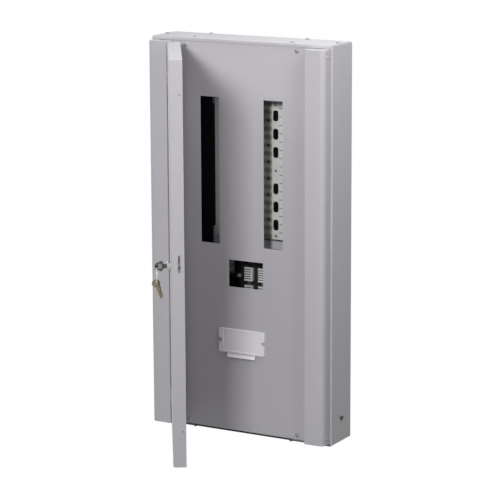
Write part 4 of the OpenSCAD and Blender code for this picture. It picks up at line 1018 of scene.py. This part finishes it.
def build_floor(height, near=0.6, far=1.9, least_white=0.5):
    """A round floor that is least white at the near distance and all white from the far one, in metres."""
    bpy.ops.mesh.primitive_circle_add(vertices=96, radius=26, fill_type="NGON", location=(0, 0, height))
    floor = bpy.context.object
    floor.name = "pale_floor"
    material = bpy.data.materials.new("pale_floor")
    material.use_nodes = True
    tree = material.node_tree
    matt = tree.nodes["Principled BSDF"]
    matt.inputs["Base Color"].default_value = (0.82, 0.82, 0.82, 1)
    matt.inputs["Roughness"].default_value = 0.9
    glow = add(tree, "Emission")
    length = add(tree, "VectorMath", operation="LENGTH")
    tree.links.new(add(tree, "TexCoord").outputs["Object"], length.inputs[0])
    fade = add(tree, "MapRange")
    fade.inputs["From Min"].default_value = near
    fade.inputs["From Max"].default_value = far
    fade.inputs["To Min"].default_value = least_white
    tree.links.new(length.outputs["Value"], fade.inputs["Value"])
    share = math_node(tree, "MULTIPLY", shows(tree), fade.outputs["Result"])
    from_above = mixed(tree, share, matt.outputs[0], glow.outputs[0])
    from_below = add(tree, "BsdfTransparent").outputs[0]
    both = mixed(tree, add(tree, "NewGeometry").outputs["Backfacing"], from_above, from_below)
    tree.links.new(both, tree.nodes["Material Output"].inputs["Surface"])
    floor.data.materials.append(material)
    return floor


def build_surround(level):
    """A world that looks white; level is the strength with which it lights the box."""
    world = bpy.data.worlds.new("white_surround")
    bpy.context.scene.world = world
    world.use_nodes = True
    tree = world.node_tree
    dim = tree.nodes["Background"]
    dim.inputs["Color"].default_value = (1, 1, 1, 1)
    dim.inputs["Strength"].default_value = level
    white = add(tree, "Background")
    white.inputs["Color"].default_value = (1, 1, 1, 1)
    white.inputs["Strength"].default_value = 1.0
    both = mixed(tree, shows(tree), dim.outputs[0], white.outputs[0])
    tree.links.new(both, tree.nodes["World Output"].inputs["Surface"])


floor = build_floor(height=-1.7)
build_surround(level=0.0)
print("floor at", round(floor.location.z, 2), "m")


# %% [markdown]
# The open door throws a soft-edged shadow on the panel, which a small soft box in front gives. A broad
# lamp from the left lightens that shadow, and near lamps from above and from the right make the top bright
# and let the light fall off towards the bottom. Two fills from the left and from behind reach only what
# the photograph hides, so that the box can be looked at from there as well. One large dome of light would
# be simpler, but it would wash the shadow out.

# %% Lamps
def outward_from_box(azimuth, elevation):
    """A unit vector for angles in degrees; azimuth 0 is in front and grows to the right."""
    a, e = math.radians(azimuth), math.radians(elevation)
    return Vector((math.sin(a) * math.cos(e), -math.cos(a) * math.cos(e), math.sin(e)))


def soft_lamp(name, azimuth, elevation, distance, size, watts):
    """A square area lamp that looks at the middle of the box."""
    lamp = bpy.data.lights.new(name, "AREA")
    lamp.shape = "SQUARE"
    lamp.size = size
    lamp.energy = watts
    holder = bpy.data.objects.new(name, lamp)
    back = outward_from_box(azimuth, elevation)
    holder.location = back * distance
    holder.rotation_mode = "QUATERNION"
    holder.rotation_quaternion = (-back).to_track_quat("-Z", "Y")
    holder.visible_camera = False
    bpy.context.scene.collection.objects.link(holder)
    return holder


for name, azimuth, elevation, distance, size, watts in (
        ("key_soft_box", 7, 27, 3.0, 0.6, 41),
        ("broad_left", -18, 38, 3.0, 1.2, 17),
        ("right_near", 65, 48, 1.5, 0.6, 5.6),
        ("high_right", 95, 70, 1.5, 0.6, 8.6),
        ("right_low", 60, 20, 1.6, 0.6, 2.9),
        ("left_fill", -105, 12, 3.0, 1.2, 17),
        ("back_fill", 178, 10, 3.0, 1.2, 19)):
    lamp = soft_lamp(name, azimuth, elevation, distance, size, watts)
    print(name, [round(v, 2) for v in lamp.location], watts, "W")


# %% [markdown]
# The camera stands to the right of the box, above its middle, with a long lens, so that upright edges
# stay nearly parallel. Its place and angles came from fitting the box's corners to the picture. Aiming it
# with a Track To constraint would lose the small roll of the picture, so its matrix is written directly.

# %% Camera
def aim_camera(place, azimuth, elevation, roll, focal_pixels, frame_pixels=500, sensor=36.0):
    """A camera that looks against an outward direction; angles are in degrees."""
    camera = bpy.data.cameras.new("camera")
    camera.sensor_width = sensor
    camera.lens = focal_pixels / frame_pixels * sensor
    camera.clip_end = 100
    holder = bpy.data.objects.new("camera", camera)
    r = math.radians(roll)
    back = outward_from_box(azimuth, elevation)
    right = (-back).cross(Vector((0, 0, 1))).normalized()
    up = right.cross(-back)
    side = right * math.cos(r) + up * math.sin(r)
    top = up * math.cos(r) - right * math.sin(r)
    holder.matrix_world = Matrix.Translation(place) @ Matrix((side, top, back)).transposed().to_4x4()
    bpy.context.scene.collection.objects.link(holder)
    bpy.context.scene.camera = holder
    return holder


camera = aim_camera(
    Vector((2.2544, -4.0544, 0.9346)), azimuth=29.394, elevation=11.830, roll=-0.265, focal_pixels=2220.71)
bpy.context.scene.view_settings.view_transform = "Standard"
print("lens", round(camera.data.lens, 2), "mm")
